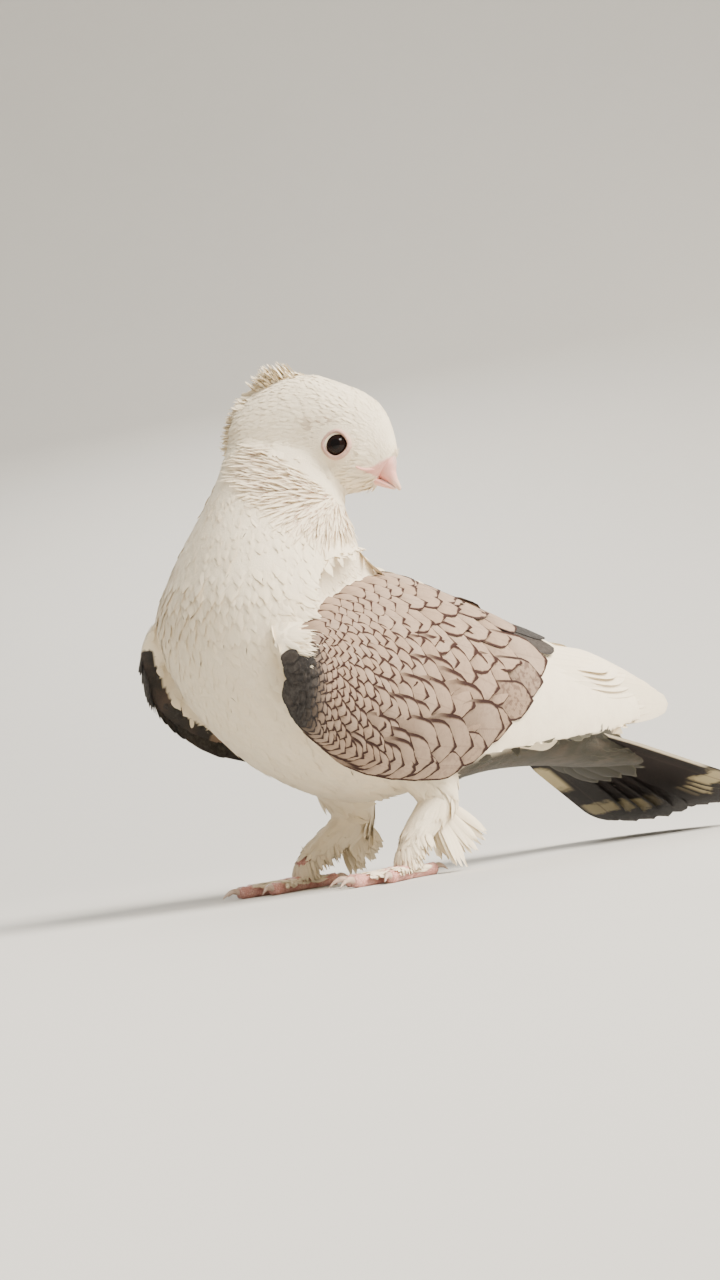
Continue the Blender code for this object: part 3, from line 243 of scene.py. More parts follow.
# The toes' middle height over the floor, and how far behind the ankle they meet
TOE_HEIGHT, TOE_BACK = 0.00205, 0.001
# How many feathers: on each wing, along each cape's edge, for each one counted in the crest's clumps,
# and in each leg's tuft, in one row of it and round the ankle
PRIMARIES, INNER_FLIGHTS = 9, 8
FRINGE_FEATHERS, CREST_DENSITY = 700, 4
MUFF_FEATHERS, MUFF_ROW, ANKLE_FEATHERS = 30, 10, 240
# Small feathers on a toe and how far along it they grow, on the hind one and the others
HIND_TOE_TUFT, FRONT_TOE_TUFT = (16, 0.30), (100, 0.66)
# The vent's dark feathers fade out between these heights and distances from the middle
VENT_HEIGHT, VENT_ASIDE = (0.056, 0.051), (0.024, 0.019)
# How near a place may be to the cape's edge and still count as the neck's side
CAPE_MARGIN = 0.004
# The band of raised feathers below the cheek, from the back to the jaw: forward, up; and its fade
RUFF_FROM, RUFF_TO = Vector((-0.0215, -0.0085)), Vector((-0.0020, -0.0290))
RUFF_FADE = (0.0090, 0.0055)
# The pink skin before the cheek: forward, up
BARE_CORNERS = (
    (0.0105, -0.0140), (0.0180, -0.0112), (0.0235, -0.0085), (0.0235, -0.0160), (0.0165, -0.0172),
)
# The white feathers' materials: barbs along a vane, how dark the painted shade in the gaps between them is
WHITES = {
    "white_feather": (26.0, 1.0),
    "loose_feather": (14.0, 1.1),
    "fine_feather": (9.0, 0.7),
    "crest_feather": (16.0, 1.0),
}
# Places on the bill's side, forward, up and right: its tip, the gape, the cere
TIP_SPOT, GAPE_SPOT, CERE_SPOT = (0.0235, -0.0217), (0.0150, -0.0170, -0.0040), (0.0192, -0.0105)
# Lamps: place, target, size, watts, colour, whether they show in glossy surfaces
LAMPS = {
    "window": ((0.70, -1.10, 1.40), (0, 0, 0.09), 1.5, 140.0, (1.0, 0.94, 0.85), False),
    "glint": ((-0.30, -1.08, 1.02), (0, 0, 0.15), 0.42, 10.0, (1.0, 0.98, 0.95), True),
    "rim": ((0.7, 1.2, 1.1), (0, 0, 0.09), 0.8, 16.0, (1.0, 0.98, 0.95), True),
}
SKY, SKY_STRENGTH = (0.92, 0.885, 0.82, 1), 0.62
CAMERA_PLACE = Vector((-0.4617, -0.5910, 0.028))
CAMERA_AHEAD = Vector((0.6291, 0.7737, 0.0749))
CAMERA_ROLL = math.radians(-7.5)
CAMERA_LENS, SENSOR_HEIGHT, SENSOR_WIDTH, CAMERA_CLIP = 60.27, 36.0, 20.25, 0.01
# The floor runs level to this distance, then curves up with this radius
FLOOR_LEVEL, FLOOR_RADIUS, FLOOR_TURN, FLOOR_STEPS = 0.45, 2.0, 80, 36
FLOOR_NEAR, FLOOR_TOP, FLOOR_HALF_WIDTH = -4.0, (2.9, 5.0), 6.0
# What the guides tell of a place: its point on the form, the region, how feathers lie, its place on the map
Spot = namedtuple("Spot", "place region lie a b")
# Each toe's turn from straight ahead in degrees, and its length
TOES = (("inner", 26.0, 0.021), ("middle", 0.0, 0.027), ("outer", -28.0, 0.022), ("hind", 178.0, 0.014))
TOE_RADIUS, TOE_SLIM = 0.0025, 0.90
CLAW_LENGTH = 0.0065
SIDES = {-1: "left", 1: "right"}

# Where each region of the skin lies on the plumage's map: left, low, width, height
REGIONS = {
    "body": (0.01, 0.01, 0.50, 0.58),
    "head": (0.53, 0.01, 0.46, 0.34),
    "wing_left": (0.01, 0.61, 0.48, 0.38),
    "wing_right": (0.51, 0.61, 0.48, 0.38),
    "leg_left": (0.53, 0.37, 0.22, 0.22),
    "leg_right": (0.77, 0.37, 0.22, 0.22),
}
TUFT_PATCH = 0.003


def length_setting(label, about, default):
    return bpy.props.FloatProperty(name=label, description=about, default=default, unit="LENGTH")


def colour_setting(label, about, default):
    return bpy.props.FloatVectorProperty(name=label, description=about, default=default, subtype="COLOR")


class PlumageSizes(bpy.types.PropertyGroup):
    """Sizes of the plumage and the skin."""

    voxel: length_setting("Skin cell", "Grid the skin is made on", 0.0011)
    coat_depth: length_setting("Coat depth", "How far the skin lies inside", 0.0007)
    head_feather: length_setting("Head feather", "Length on the head", 0.0034)
    breast_feather: length_setting("Breast feather", "Length on the breast", 0.0072)
    belly_feather: length_setting("Belly feather", "Length on the belly", 0.0092)
    crest_feather: length_setting("Crest feather", "Length in the crest", 0.0098)
    front_covert: length_setting("Front covert", "Spacing at the wrist", 0.0031)
    rear_covert: length_setting("Rear covert", "Spacing at the rear", 0.0240)
    muff_feather: length_setting("Muff feather", "Longest leg feather", 0.0200)
    eye_radius: length_setting("Eye radius", "Radius of the eyeball", 0.0052)


class PlumageColours(bpy.types.PropertyGroup):
    """Colours of the plumage and the bare parts."""

    ivory: colour_setting("Ivory", "White feathers", (0.88, 0.77, 0.575))
    # Warm down colour, darkened to serve as painted shade in the gaps and at the roots between white feathers
    down_and_gap_shade: colour_setting("Hollow", "Down between white feathers", (0.36, 0.205, 0.14))
    beige: colour_setting("Beige", "Ground of the shield", (0.345, 0.242, 0.168))
    lacing: colour_setting("Lacing", "Edges of the shield", (0.042, 0.022, 0.018))
    bend: colour_setting("Wing bend", "Dark patch at the wrist", (0.034, 0.031, 0.029))
    tail: colour_setting("Tail", "Dark tail feathers", (0.018, 0.014, 0.013))
    spot: colour_setting("Tail spot", "Pale spots of the tail", (0.40, 0.33, 0.19))
    vent: colour_setting("Vent", "Feathers under the tail", (0.040, 0.036, 0.024))
    bill: colour_setting("Bill", "Horn of the bill", (0.78, 0.40, 0.33))
    bill_tip: colour_setting("Bill tip", "Tip of the bill", (0.82, 0.58, 0.44))
    lid: colour_setting("Lid", "Bare ring round the eye", (0.60, 0.38, 0.30))
    eye: colour_setting("Eye", "Iris and pupil", (0.008, 0.003, 0.002))
    leg: colour_setting("Leg", "Scaled skin of the toes", (0.68, 0.33, 0.28))
    claw: colour_setting("Claw", "Horn of the claws", (0.62, 0.46, 0.36))
    floor: colour_setting("Floor", "Plain floor", (0.56, 0.545, 0.51))


def sizes():
    return bpy.context.scene.plumage_sizes


def colours():
    return bpy.context.scene.plumage_colours


# Forms

def circle(count):
    """Evenly spaced angles once round."""
    return [2 * math.pi * j / count for j in range(count)]


def read_at(rows, step):
    """One row read at a place between the given rows, along a smooth curve."""
    rows = np.array(rows, float)
    padded = np.vstack([2 * rows[0] - rows[1], rows, 2 * rows[-1] - rows[-2]])
    i = max(0, min(int(step), len(rows) - 2))
    t = step - i
    p0, p1, p2, p3 = padded[i : i + 4]
    bend = 2 * p0 - 5 * p1 + 4 * p2 - p3
    return 0.5 * (2 * p1 + (p2 - p0) * t + bend * t**2 + (3 * p1 - p0 - 3 * p2 + p3) * t**3)


def read_evenly(rows, count):
    """Rows read at even steps from the first to the last."""
    return [read_at(rows, step) for step in np.linspace(0, len(rows) - 1, count)]


def ring_between(top, low, half_width, around, fullness):
    """A closed section between a top and a low point, lying across the Y axis."""
    centre, arm = (top + low) / 2, (top - low) / 2
    ring = []
    for angle in circle(around):
        up = math.copysign(abs(math.cos(angle)) ** (2 / fullness), math.cos(angle))
        side = math.copysign(abs(math.sin(angle)) ** (2 / fullness), math.sin(angle))
        ring.append(Vector((centre.x + arm.x * up, half_width * side, centre.z + arm.z * up)))
    return ring


def body_rings(rows, around):
    """Sections of the body from the tail's root to the throat, each one turned as the neck turns."""
    rings = []
    for back_x, back_z, low_x, low_z, half_width, middle_y, turn in read_evenly(BODY, rows):
        back, low = Vector((back_x, 0, back_z)), Vector((low_x, 0, low_z))
        ring = ring_between(back, low, half_width, around, BODY_FULLNESS)
        middle = Vector(((back_x + low_x) / 2, 0, 0))
        turning = Matrix.Rotation(math.radians(turn), 3, "Z")
        rings.append([turning @ (p - middle) + middle + Vector((0, middle_y, 0)) for p in ring])
    return rings


def head_point(a, b, c=0.0):
    """A place in the head's own frame, in the bird's frame."""
    forward = Vector((math.cos(HEAD_TURN), math.sin(HEAD_TURN), 0))
    right = Vector((forward.y, -forward.x, 0))
    return HEAD_PLACE + forward * a + right * c + Vector((0, 0, b))


def head_direction(a, b, c=0.0):
    """A direction in the head's own frame, in the bird's frame."""
    return head_point(a, b, c) - HEAD_PLACE


def head_rings(rows, around):
    """Sections of the head from its back to the bill's root."""
    rings = []
    for top_a, top_b, low_a, low_b, half_width in read_evenly(HEAD, rows):
        top, low = Vector((top_a, 0, top_b)), Vector((low_a, 0, low_b))
        ring = ring_between(top, low, half_width, around, HEAD_FULLNESS)
        rings.append([head_point(p.x, p.z, p.y) for p in ring])
    return rings


def wing_point(along, down, lift=0.0):
    """A place on the right wing's outer face: along it from wrist to rear, down from its top edge."""
    top_x, top_y, top_z, low_x, low_y, low_z, bulge, _ = read_at(WING, along * (len(WING) - 1))
    top, low = Vector((top_x, top_y, top_z)), Vector((low_x, low_y, low_z))
    swell = Vector(((top_x + low_x) / 2, low_y + bulge, top_z - WING_SWELL * (top_z - low_z)))
    place = top * (1 - down) ** 2 + swell * (2 * down * (1 - down)) + low * down**2
    if lift:
        place += wing_normal(along, down) * lift
    return place


def wing_normal(along, down):
    """The right wing's outward direction at a place on it."""
    step = 0.01
    lengthwise = wing_point(along + step, down) - wing_point(along - step, down)
    crosswise = wing_point(along, min(1, down + step)) - wing_point(along, max(0, down - step))
    return lengthwise.cross(crosswise).normalized()


def on_side(place, side):
    """A right-wing place on either side of the bird; its left wing is lower, that wrist further back."""
    back = 0.0
    if side < 0:
        back = WRIST_BACK * min(1.0, max(0.0, (WRIST_FADE[0] - place.x) / WRIST_FADE[1]))
    return Vector((place.x + back, side * place.y, place.z + side * WING_TILT * place.y))


def turned(direction, side):
    """A right-wing direction on either side of the bird."""
    return Vector((direction.x, side * direction.y, direction.z + side * WING_TILT * direction.y))


def wing_section(side, along, downs, edge, clear=Vector()):
    """One closed ring round a wing: its outer face, moved out by what is kept clear, then its inner one."""
    thick = read_at(WING, along * (len(WING) - 1))[7]
    outer, inner = [], []
    for down in downs:
        depth = edge + thick * math.sqrt(max(0.0, 4 * down * (1 - down)))
        outer.append(on_side(wing_point(along, down) + clear, side))
        inner.append(on_side(wing_point(along, down, -depth), side))
    return outer + inner[::-1]


def wing_rings(side, rows, across):
    """Sections of one folded wing from the wrist to the rear."""
    downs = [j / (across - 1) for j in range(across)]
    return [wing_section(side, i / (rows - 1), downs, WING_EDGE) for i in range(rows)]


def limb_rings(stations, around):
    """Rings of a round limb through places with a forward and a sideways radius."""
    places = [Vector(s[0]) for s in stations]
    rings = []
    for i, (place, depth, breadth) in enumerate(stations):
        ahead = (places[min(i + 1, len(places) - 1)] - places[max(i - 1, 0)]).normalized()
        front = ahead.cross(Vector((0, 1, 0))).normalized()
        side = front.cross(ahead).normalized()
        ring = []
        for angle in circle(around):
            forward, sideways = depth * math.cos(angle), breadth * math.sin(angle)
            ring.append(Vector(place) + front * forward + side * sideways)
        rings.append(ring)
    return rings


def leg_places(side):
    """Hip, hock and ankle of one leg."""
    leg = LEGS[side]
    return [Vector((leg[k][0], side * leg[k][1], leg[k][2])) for k in ("hip", "hock", "ankle")]


def leg_rings(side, around):
    """Thigh and shank as one limb, from the hip to the ankle."""
    hip, hock, ankle = leg_places(side)
    stations = []
    for start, end, spans in ((hip, hock, THIGH), (hock, ankle, SHANK)):
        stations += [(start.lerp(end, share), depth, breadth) for share, depth, breadth in spans]
    return limb_rings(stations, around)


def loft_into(shaped, rings):
    """Adds a closed tube through rings of points to a bmesh."""
    grid = [[shaped.verts.new(p) for p in ring] for ring in rings]
    around = len(rings[0])
    for low, high in zip(grid, grid[1:]):
        for j in range(around):
            k = (j + 1) % around
            shaped.faces.new((low[j], low[k], high[k], high[j]))
    shaped.faces.new(grid[0][::-1])
    shaped.faces.new(grid[-1])


def mesh_object(name, shaped):
    """An object from a bmesh, still in the bird's own frame."""
    bmesh.ops.recalc_face_normals(shaped, faces=shaped.faces)
    mesh = bpy.data.meshes.new(name)
    shaped.to_mesh(mesh)
    shaped.free()
    made = bpy.data.objects.new(name, mesh)
    bpy.context.scene.collection.objects.link(made)
    return made


def bird_shift():
    """From the bird's own frame to the model's: the left eye stands at the same place in both."""
    low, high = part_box("eye_left")
    middle = (Vector(low) + Vector(high)) / 2
    return middle - head_point(EYE_AT[0], EYE_AT[1], -EYE_OUT)


def set_in_place(made):
    """Moves a piece from the bird's own frame to the model's."""
    made.data.transform(Matrix.Translation(bird_shift()))
    made.data.update()


def finished(made):
    """A piece set in its place, with smooth faces."""
    set_in_place(made)
    made.data.shade_smooth()
    return made


def applied(thing):
    """Makes the object's modifiers real."""
    bpy.context.view_layer.update()
    mesh = bpy.data.meshes.new_from_object(thing.evaluated_get(bpy.context.evaluated_depsgraph_get()))
    thing.modifiers.clear()
    thing.data = mesh


def dress(made, material, slot, *nodes):
    """Gives a piece its material, its place on the bird and the solids it stands for."""
    made.data.materials.clear()
    made.data.materials.append(material)
    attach(made, "root")
    if nodes:
        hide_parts(*nodes)


# Guides: what the feathers' places, lie and map are read from

def neck_side(place, margin=0.0):
    """Whether a place lies in front of the cape's edge, where the white feathers hang over the wing."""
    side = 1 if place.y > 0 else -1
    if place.z < CAPE_LOWEST[side]:
        return False
    edge, normal = cape_plane(side)
    return (place - edge).dot(normal) < margin


def shoulder_top(place):
    """One where the feathers lie short and close between the neck and the top of a wing."""
    return smooth_step(0.020, 0.011, (Vector((place.x, abs(place.y), place.z)) - SHOULDER_TOP).length)


def cape_plane(side):
    """The plane where the breast's feathers lie over the shield: a place, a direction to the wing."""
    high, low = CAPE_EDGE
    normal = (low - high).cross(CAPE_OUT)
    normal = normal if normal.z < 0 else -normal
    return Vector((high.x, side * high.y, high.z)), Vector((normal.x, side * normal.y, normal.z)).normalized()


class Guides:
    """Places on the smooth forms, with the way feathers lie there and their place on the map."""

    def __init__(self):
        self.rows = []
        self.add_rings("body", body_rings(*GUIDE_GRID["body"]), backwards=True)
        self.add_rings("head", head_rings(*GUIDE_GRID["head"]), backwards=True)
        rows, across = GUIDE_GRID["wing"]
        for side, label in SIDES.items():
            sheet = []
            for i in range(rows):
                row = [wing_point(i / (rows - 1), j / (across - 1)) for j in range(across)]
                sheet.append([on_side(place, side) for place in row])
            self.add_rings("wing_" + label, sheet, backwards=False)
            self.add_rings("leg_" + label, leg_rings(side, *GUIDE_GRID["leg"]), backwards=False)
        self.tree = KDTree(len(self.rows))
        self.body = KDTree(len(self.rows))
        for i, row in enumerate(self.rows):
            self.tree.insert(row.place, i)
            if row.region == "body":
                self.body.insert(row.place, i)
        self.tree.balance()
        self.body.balance()

    def add_rings(self, region, rings, backwards):
        last = len(rings) - 1
        for i, ring in enumerate(rings):
            ahead, behind = rings[min(i + 1, last)], rings[max(i - 1, 0)]
            for j, place in enumerate(ring):
                lie = (behind[j] - ahead[j]) if backwards else (ahead[j] - behind[j])
                self.rows.append(Spot(place, region, lie.normalized(), i / last, j / len(ring)))

    def near(self, place):
        """The nearest guide; on the neck's side of a wing the body's one, with the wing's lie."""
        row = self.rows[self.tree.find(place)[1]]
        if row.region.startswith("wing") and neck_side(place, CAPE_MARGIN):
            return self.rows[self.body.find(place)[1]]._replace(lie=row.lie)
        return row


def map_place(region, a, b):
    """A place of a region on the plumage's map."""
    left, low, width, height = REGIONS[region]
    return left + width * b, low + height * a


def smooth_step(low, high, value):
    """Zero at low, one at high and smooth between; low may be the larger one."""
    t = min(1.0, max(0.0, (value - low) / (high - low)))
    return t * t * (3 - 2 * t)


STORE = {}


def chance():
    """The one seeded source of variation."""
    if "chance" not in STORE:
        STORE["chance"] = np.random.default_rng(SEED)
    return STORE["chance"]


def between(low, high):
    return float(chance().uniform(low, high))


def swing(size=1.0):
    """A chance step to either side, mostly small."""
    return float(chance().normal()) * size


# Feathers

def vane_section(columns):
    """Once round a vane's section: how far aside each point lies, and how high its face stands there."""
    spread = np.linspace(-1, 1, columns)
    side = np.concatenate([spread, spread[-2:0:-1]])
    face = np.concatenate([np.ones(columns), -np.ones(columns - 2)])
    return side, face * (1 - np.abs(side) ** 2)


def vane_faces(steps, around):
    """One vane's faces: all their corners in a row, and where in the row each face starts."""
    quads, ends = [], []
    root, tip, last = steps * around, steps * around + 1, (steps - 1) * around
    for i in range(steps - 1):
        for j in range(around):
            k = (j + 1) % around
            quads.append((i * around + j, i * around + k, (i + 1) * around + k, (i + 1) * around + j))
    for j in range(around):
        k = (j + 1) % around
        ends += [(root, k, j), (tip, last + j, last + k)]
    totals = np.concatenate([np.full(len(quads), 4), np.full(len(ends), 3)])
    corners = np.concatenate([np.array(quads).ravel(), np.array(ends).ravel()])
    return corners, np.concatenate([[0], np.cumsum(totals)[:-1]])


class Feathers:
    """Feathers gathered for one piece, then made as one mesh of thin closed vanes."""

    def __init__(self):
        self.places, self.shapes, self.maps, self.marks = [], [], [], []

    def add(self, root, along, out, length, width, thick=0.0004, lift=0.0, bend=0.0, sway=0.0, cup=0.1,
            rag=0.0, blunt=0.5, roll=0.0, at=(0.5, 0.5), patch=(TUFT_PATCH, TUFT_PATCH), marks=(0, 0, 0, 0)):
        """One feather; its marks are its chance, darkness, looseness (how much painted shade its root gets)
        or lace, and kind.
        """
        along = Vector(along).normalized()
        out = Vector(out)
        out = (out - along * out.dot(along)).normalized()
        across = along.cross(out)
        if roll:
            c, s = math.cos(roll), math.sin(roll)
            across, out = across * c + out * s, out * c - across * s
        self.places.append((*root, *along, *out, *across))
        self.shapes.append((length, width, thick, lift, bend, sway, cup, rag, blunt))
        patch = patch if isinstance(patch, tuple) else (patch, patch)
        self.maps.append((*at, *patch))
        self.marks.append(marks)

    def points(self, steps, columns):
        """Every feather's points, with how far aside and along its vane each one lies."""
        places, shapes = np.array(self.places), np.array(self.shapes)
        root, along, out, across = (places[:, None, 3 * i : 3 * i + 3] for i in range(4))
        length, width, thick, lift, bend, sway, cup, rag, blunt = (shapes[:, i, None] for i in range(9))
        side, height = vane_section(columns)
        t = np.linspace(0, 1, steps) ** 0.85
        tees = np.concatenate([np.repeat(t, len(side)), [0.0, 1.0]])[None, :]
        sides = np.concatenate([np.tile(side, steps), [0.0, 0.0]])[None, :]
        heights = np.concatenate([np.tile(height, steps), [0.0, 0.0]])[None, :]
        tip = np.sqrt(np.clip(1 - np.clip((tees - blunt) / (1.03 - blunt), 0, 1) ** 2, 0, 1))
        outline = (0.30 + 0.70 * np.clip(tees * 2.6, 0, 1) ** 0.7) * tip
        ragged = chance().normal(size=(len(places), columns))
        column = np.round((sides + 1) / 2 * (columns - 1)).astype(int)[0]
        torn = rag * ragged[:, column] * tees**3
        x = length * (tees + torn) - 0.2 * width * np.abs(sides) * tees
        y = width / 2 * sides * outline + sway * length * tees**2
        z = length * (lift * tees - bend * tees**2) + thick * heights * (1 - 0.55 * tees) / 2
        z = z - cup * width * (sides * outline) ** 2
        return root + along * x[..., None] + across * y[..., None] + out * z[..., None], sides, tees

    def mesh(self, kind, side=None):
        """All the feathers as one object."""
        name = kind if side is None else kind + "_" + SIDES[side]
        steps, columns = VANE_GRID[kind]
        points, sides, tees = self.points(steps, columns)
        count, per = points.shape[:2]
        corners, starts = vane_faces(steps, 2 * columns - 2)
        all_corners = (corners[None, :] + np.arange(count)[:, None] * per).ravel()
        all_starts = (starts[None, :] + np.arange(count)[:, None] * len(corners)).ravel()
        mesh = bpy.data.meshes.new(name)
        mesh.vertices.add(count * per)
        mesh.vertices.foreach_set("co", points.reshape(-1).astype(np.float32))
        mesh.loops.add(len(all_corners))
        mesh.loops.foreach_set("vertex_index", all_corners.astype(np.int32))
        mesh.polygons.add(len(all_starts))
        mesh.polygons.foreach_set("loop_start", all_starts.astype(np.int32))
        mesh.update(calc_edges=True)
        maps, marks = np.array(self.maps), np.array(self.marks, float)
        across, up = np.broadcast_to((sides + 1) / 2, (count, per)), np.broadcast_to(tees, (count, per))
        vane = np.stack([across, up], axis=-1)
        patch = maps[:, None, :2] + (vane - 0.5) * maps[:, None, 2:4]
        for label, values in (("OFBake", patch), ("Vane", vane)):
            layer = mesh.uv_layers.new(name=label)
            layer.uv.foreach_set("vector", values.reshape(-1, 2)[all_corners].astype(np.float32).ravel())
        colour = mesh.color_attributes.new("Marks", "FLOAT_COLOR", "POINT")
        colour.data.foreach_set("color", np.repeat(marks, per, axis=0).astype(np.float32).ravel())
        mesh.shade_smooth()
        mesh.set_sharp_from_angle(angle=math.radians(70))
        made = bpy.data.objects.new(name, mesh)
        bpy.context.scene.collection.objects.link(made)
        set_in_place(made)
        return made


# Skin

def under_tail(a, b):
    """One where the dark feathers under the tail's root lie, zero on the white belly."""
    return smooth_step(0.335, 0.285, a) * smooth_step(0.34, 0.28, abs(b - 0.5))


def ruff_share(place):
    """One in the band of fine raised feathers from the cheek back to the jaw on both sides of the head."""
    ahead, high, _ = head_frame(place)
    reach = RUFF_TO - RUFF_FROM
    spot = Vector((ahead, high)) - RUFF_FROM
    share = min(1.0, max(0.0, spot.dot(reach) / reach.length_squared))
    return smooth_step(*RUFF_FADE, (spot - reach * share).length)


def bare_face(place):
    """One on the pink skin between the cheek's feathers, the line of the mouth and the bill."""
    ahead, high, _ = head_frame(place)
    inside = 1.0
    for (a0, b0), (a1, b1) in zip(BARE_CORNERS, (*BARE_CORNERS[1:], BARE_CORNERS[0])):
        length = math.hypot(a1 - a0, b1 - b0)
        away = ((a1 - a0) * (high - b0) - (b1 - b0) * (ahead - a0)) / length
        inside = min(inside, smooth_step(0.0005, -0.0005, away))
    return inside


def blend(start, end, share):
    """A colour between two colours."""
    return [p + (q - p) * share for p, q in zip(start, end)]


def toned(colour, red, green=None, blue=None):
    """A colour with its channels multiplied, by one number or by one each."""
    factors = (red, red if green is None else green, red if blue is None else blue)
    return [c * k for c, k in zip(colour, factors)]


def skin_colour(region, a, b, place):
    """The same markings under the coat as on it, with painted shade where the skin shows in the gaps."""
    tint = colours()
    if region.startswith("wing"):
        # The skin's dark front on the right wing matches its widened bend patch, partly painted shade
        front = 0.12 if region == "wing_left" and b < 0.75 else 0.24
        if a < 0.34 and b < 0.13:
            return tint.ivory
        if a < front:
            return tint.bend
        # Under the shield the skin is a darker beige, painted shade for the gaps between its feathers
        if a < shield_reach(b * 18 / 17) - 0.11:
            return toned(tint.beige, 0.55)
        return tint.ivory
    if region == "body":
        vent = under_tail(a, b) * smooth_step(*VENT_HEIGHT, place.z) * smooth_step(*VENT_ASIDE, abs(place.y))
        return blend(tint.ivory, tint.vent, vent)
    if region == "head":
        # In the ruffle the skin takes the down's colour as painted shade between the raised feathers
        down = blend(tint.ivory, tint.down_and_gap_shade, 0.9 * ruff_share(place))
        return blend(down, tint.bill, bare_face(place))
    return tint.ivory


def capped(shaped, place, normal):
    """Cuts a closed bmesh at a plane, keeps the side the normal points to and closes it."""
    geometry = shaped.verts[:] + shaped.edges[:] + shaped.faces[:]
    found = bmesh.ops.bisect_plane(shaped, geom=geometry, plane_co=place, plane_no=normal, clear_inner=True)
    rim = [e for e in found["geom_cut"] if isinstance(e, bmesh.types.BMEdge)]
    bmesh.ops.edgenet_fill(shaped, edges=rim)
    bmesh.ops.triangulate(shaped, faces=[f for f in shaped.faces if len(f.verts) > 4])


def wing_bed(side):
    """The room that a wing takes from the body behind the cape's edge."""
    rings = []
    for i in range(16):
        along = i / 15
        begin = -0.10 * min(1.0, max(0.0, (along - 0.34) / 0.15))
        downs = [begin + (1 - begin) * j / 8 for j in range(9)]
        rings.append(wing_section(side, along, downs, BED_EDGE, BED_OUT))
    shaped = bmesh.new()
    loft_into(shaped, rings)
    capped(shaped, *cape_plane(side))
    return mesh_object("bed", shaped)


def body_with_beds():
    """The body's form with the room for both wings cut out of it."""
    shaped = bmesh.new()
    loft_into(shaped, body_rings(*SKIN_GRID["body"]))
    made = mesh_object("skin", shaped)
    for side in SIDES:
        bed = wing_bed(side)
        away = made.modifiers.new("Bed", "BOOLEAN")
        away.operation = "DIFFERENCE"
        away.object = bed
        applied(made)
        bpy.data.objects.remove(bed, do_unlink=True)
    return made


def make_skin():
    """Body, head, wings and legs joined on one fine grid, smoothed, and drawn in by the coat's depth."""
    made = body_with_beds()
    shaped = bmesh.new()
    loft_into(shaped, head_rings(*SKIN_GRID["head"]))
    along = head_direction(math.cos(BILL_TILT), math.sin(BILL_TILT))
    root = head_point(*BILL_ROOT)
    capped(shaped, root - along * 0.0002, -along)
    for side in SIDES:
        loft_into(shaped, wing_rings(side, *SKIN_GRID["wing"]))
        loft_into(shaped, leg_rings(side, *SKIN_GRID["leg"]))
    shaped.from_mesh(made.data)
    bmesh.ops.recalc_face_normals(shaped, faces=shaped.faces)
    shaped.to_mesh(made.data)
    shaped.free()
    grid = made.modifiers.new("Grid", "REMESH")
    grid.mode = "VOXEL"
    grid.voxel_size = sizes().voxel
    grid.use_smooth_shade = True
    soften = made.modifiers.new("Soften", "SMOOTH")
    soften.factor = 0.5
    soften.iterations = 3
    applied(made)
    mesh = made.data
    normals = np.empty(len(mesh.vertices) * 3, np.float32)
    mesh.vertices.foreach_get("normal", normals)
    places = np.empty(len(mesh.vertices) * 3, np.float32)
    mesh.vertices.foreach_get("co", places)
    places -= normals * sizes().coat_depth
    mesh.vertices.foreach_set("co", places)
    mesh.update()
    shaped = bmesh.new()
    shaped.from_mesh(mesh)
    STORE["guides"] = Guides()
    STORE["skin"] = BVHTree.FromBMesh(shaped)
    shaped.free()
    survey_skin(places.reshape(-1, 3), [tuple(p.vertices) for p in mesh.polygons])
    paint_skin(mesh)
    return finished(made)


def paint_skin(mesh):
    """Stores the coat's markings and the painted shade of its gaps on the skin, so nothing else shows between
    feathers.
    """
    colour = mesh.color_attributes.new("Skin", "FLOAT_COLOR", "POINT")
    values = []
    for v in mesh.vertices:
        row = STORE["guides"].near(v.co)
        values.extend((*skin_colour(row.region, row.a, row.b, v.co), 1.0))
    colour.data.foreach_set("color", values)


def lean_to(direction, normal):
    """The part of a direction that lies in the surface."""
    flat = direction - normal * direction.dot(normal)
    if flat.length < 1e-6:
        flat = normal.orthogonal()
    return flat.normalized()


def survey_skin(points, polygons):
    """Each face of the skin: its place, normal, area and nearest guide."""
    corners = points[np.array([p[:4] if len(p) > 3 else (*p, p[2]) for p in polygons])]
    middles = corners.mean(axis=1)
    crosses = np.cross(corners[:, 2] - corners[:, 0], corners[:, 3] - corners[:, 1])
    doubled = np.linalg.norm(crosses, axis=1)
    doubled[doubled == 0] = 1e-12
    guides = STORE["guides"]
    rows = [guides.near(Vector(m)) for m in middles]
    STORE["survey"] = (corners, crosses / doubled[:, None], doubled / 2, rows)


def spread_roots(spacing_of):
    """Roots of feathers over the skin, no closer to each other than the spacing asked for at each place."""
    corners, normals, areas, rows = STORE["survey"]
    middles = corners.mean(axis=1)
    spacings = np.array([spacing_of(row, Vector(m)) for row, m in zip(rows, middles)])
    chosen = np.nonzero(spacings > 0)[0]
    weights = areas[chosen] / spacings[chosen] ** 2
    tries = int(weights.sum() * 2.6)
    picks = chosen[chance().choice(len(chosen), size=tries, p=weights / weights.sum())]
    u, v = chance().random(tries)[:, None], chance().random(tries)[:, None]
    c = corners[picks]
    found = (c[:, 0] * (1 - u) + c[:, 1] * u) * (1 - v) + (c[:, 3] * (1 - u) + c[:, 2] * u) * v
    keys = np.floor(found / float(spacings.max())).astype(int)
    taken, roots = {}, []
    for i, pick in enumerate(picks):
        place, spacing = found[i], spacings[pick]
        x, y, z = keys[i]
        near = []
        for step in product((-1, 0, 1), repeat=3):
            near += taken.get((x + step[0], y + step[1], z + step[2]), ())
        if near and ((np.array(near) - place) ** 2).sum(axis=1).min() < spacing * spacing:
            continue
        taken.setdefault((x, y, z), []).append(place)
        roots.append((Vector(place), Vector(normals[pick]), rows[pick]))
    return roots


def head_frame(place):
    """How far forward, up and right of the head's middle a place is."""
    away = place - HEAD_PLACE
    forward = Vector((math.cos(HEAD_TURN), math.sin(HEAD_TURN), 0))
    return away.dot(forward), away.z, away.dot(Vector((forward.y, -forward.x, 0)))


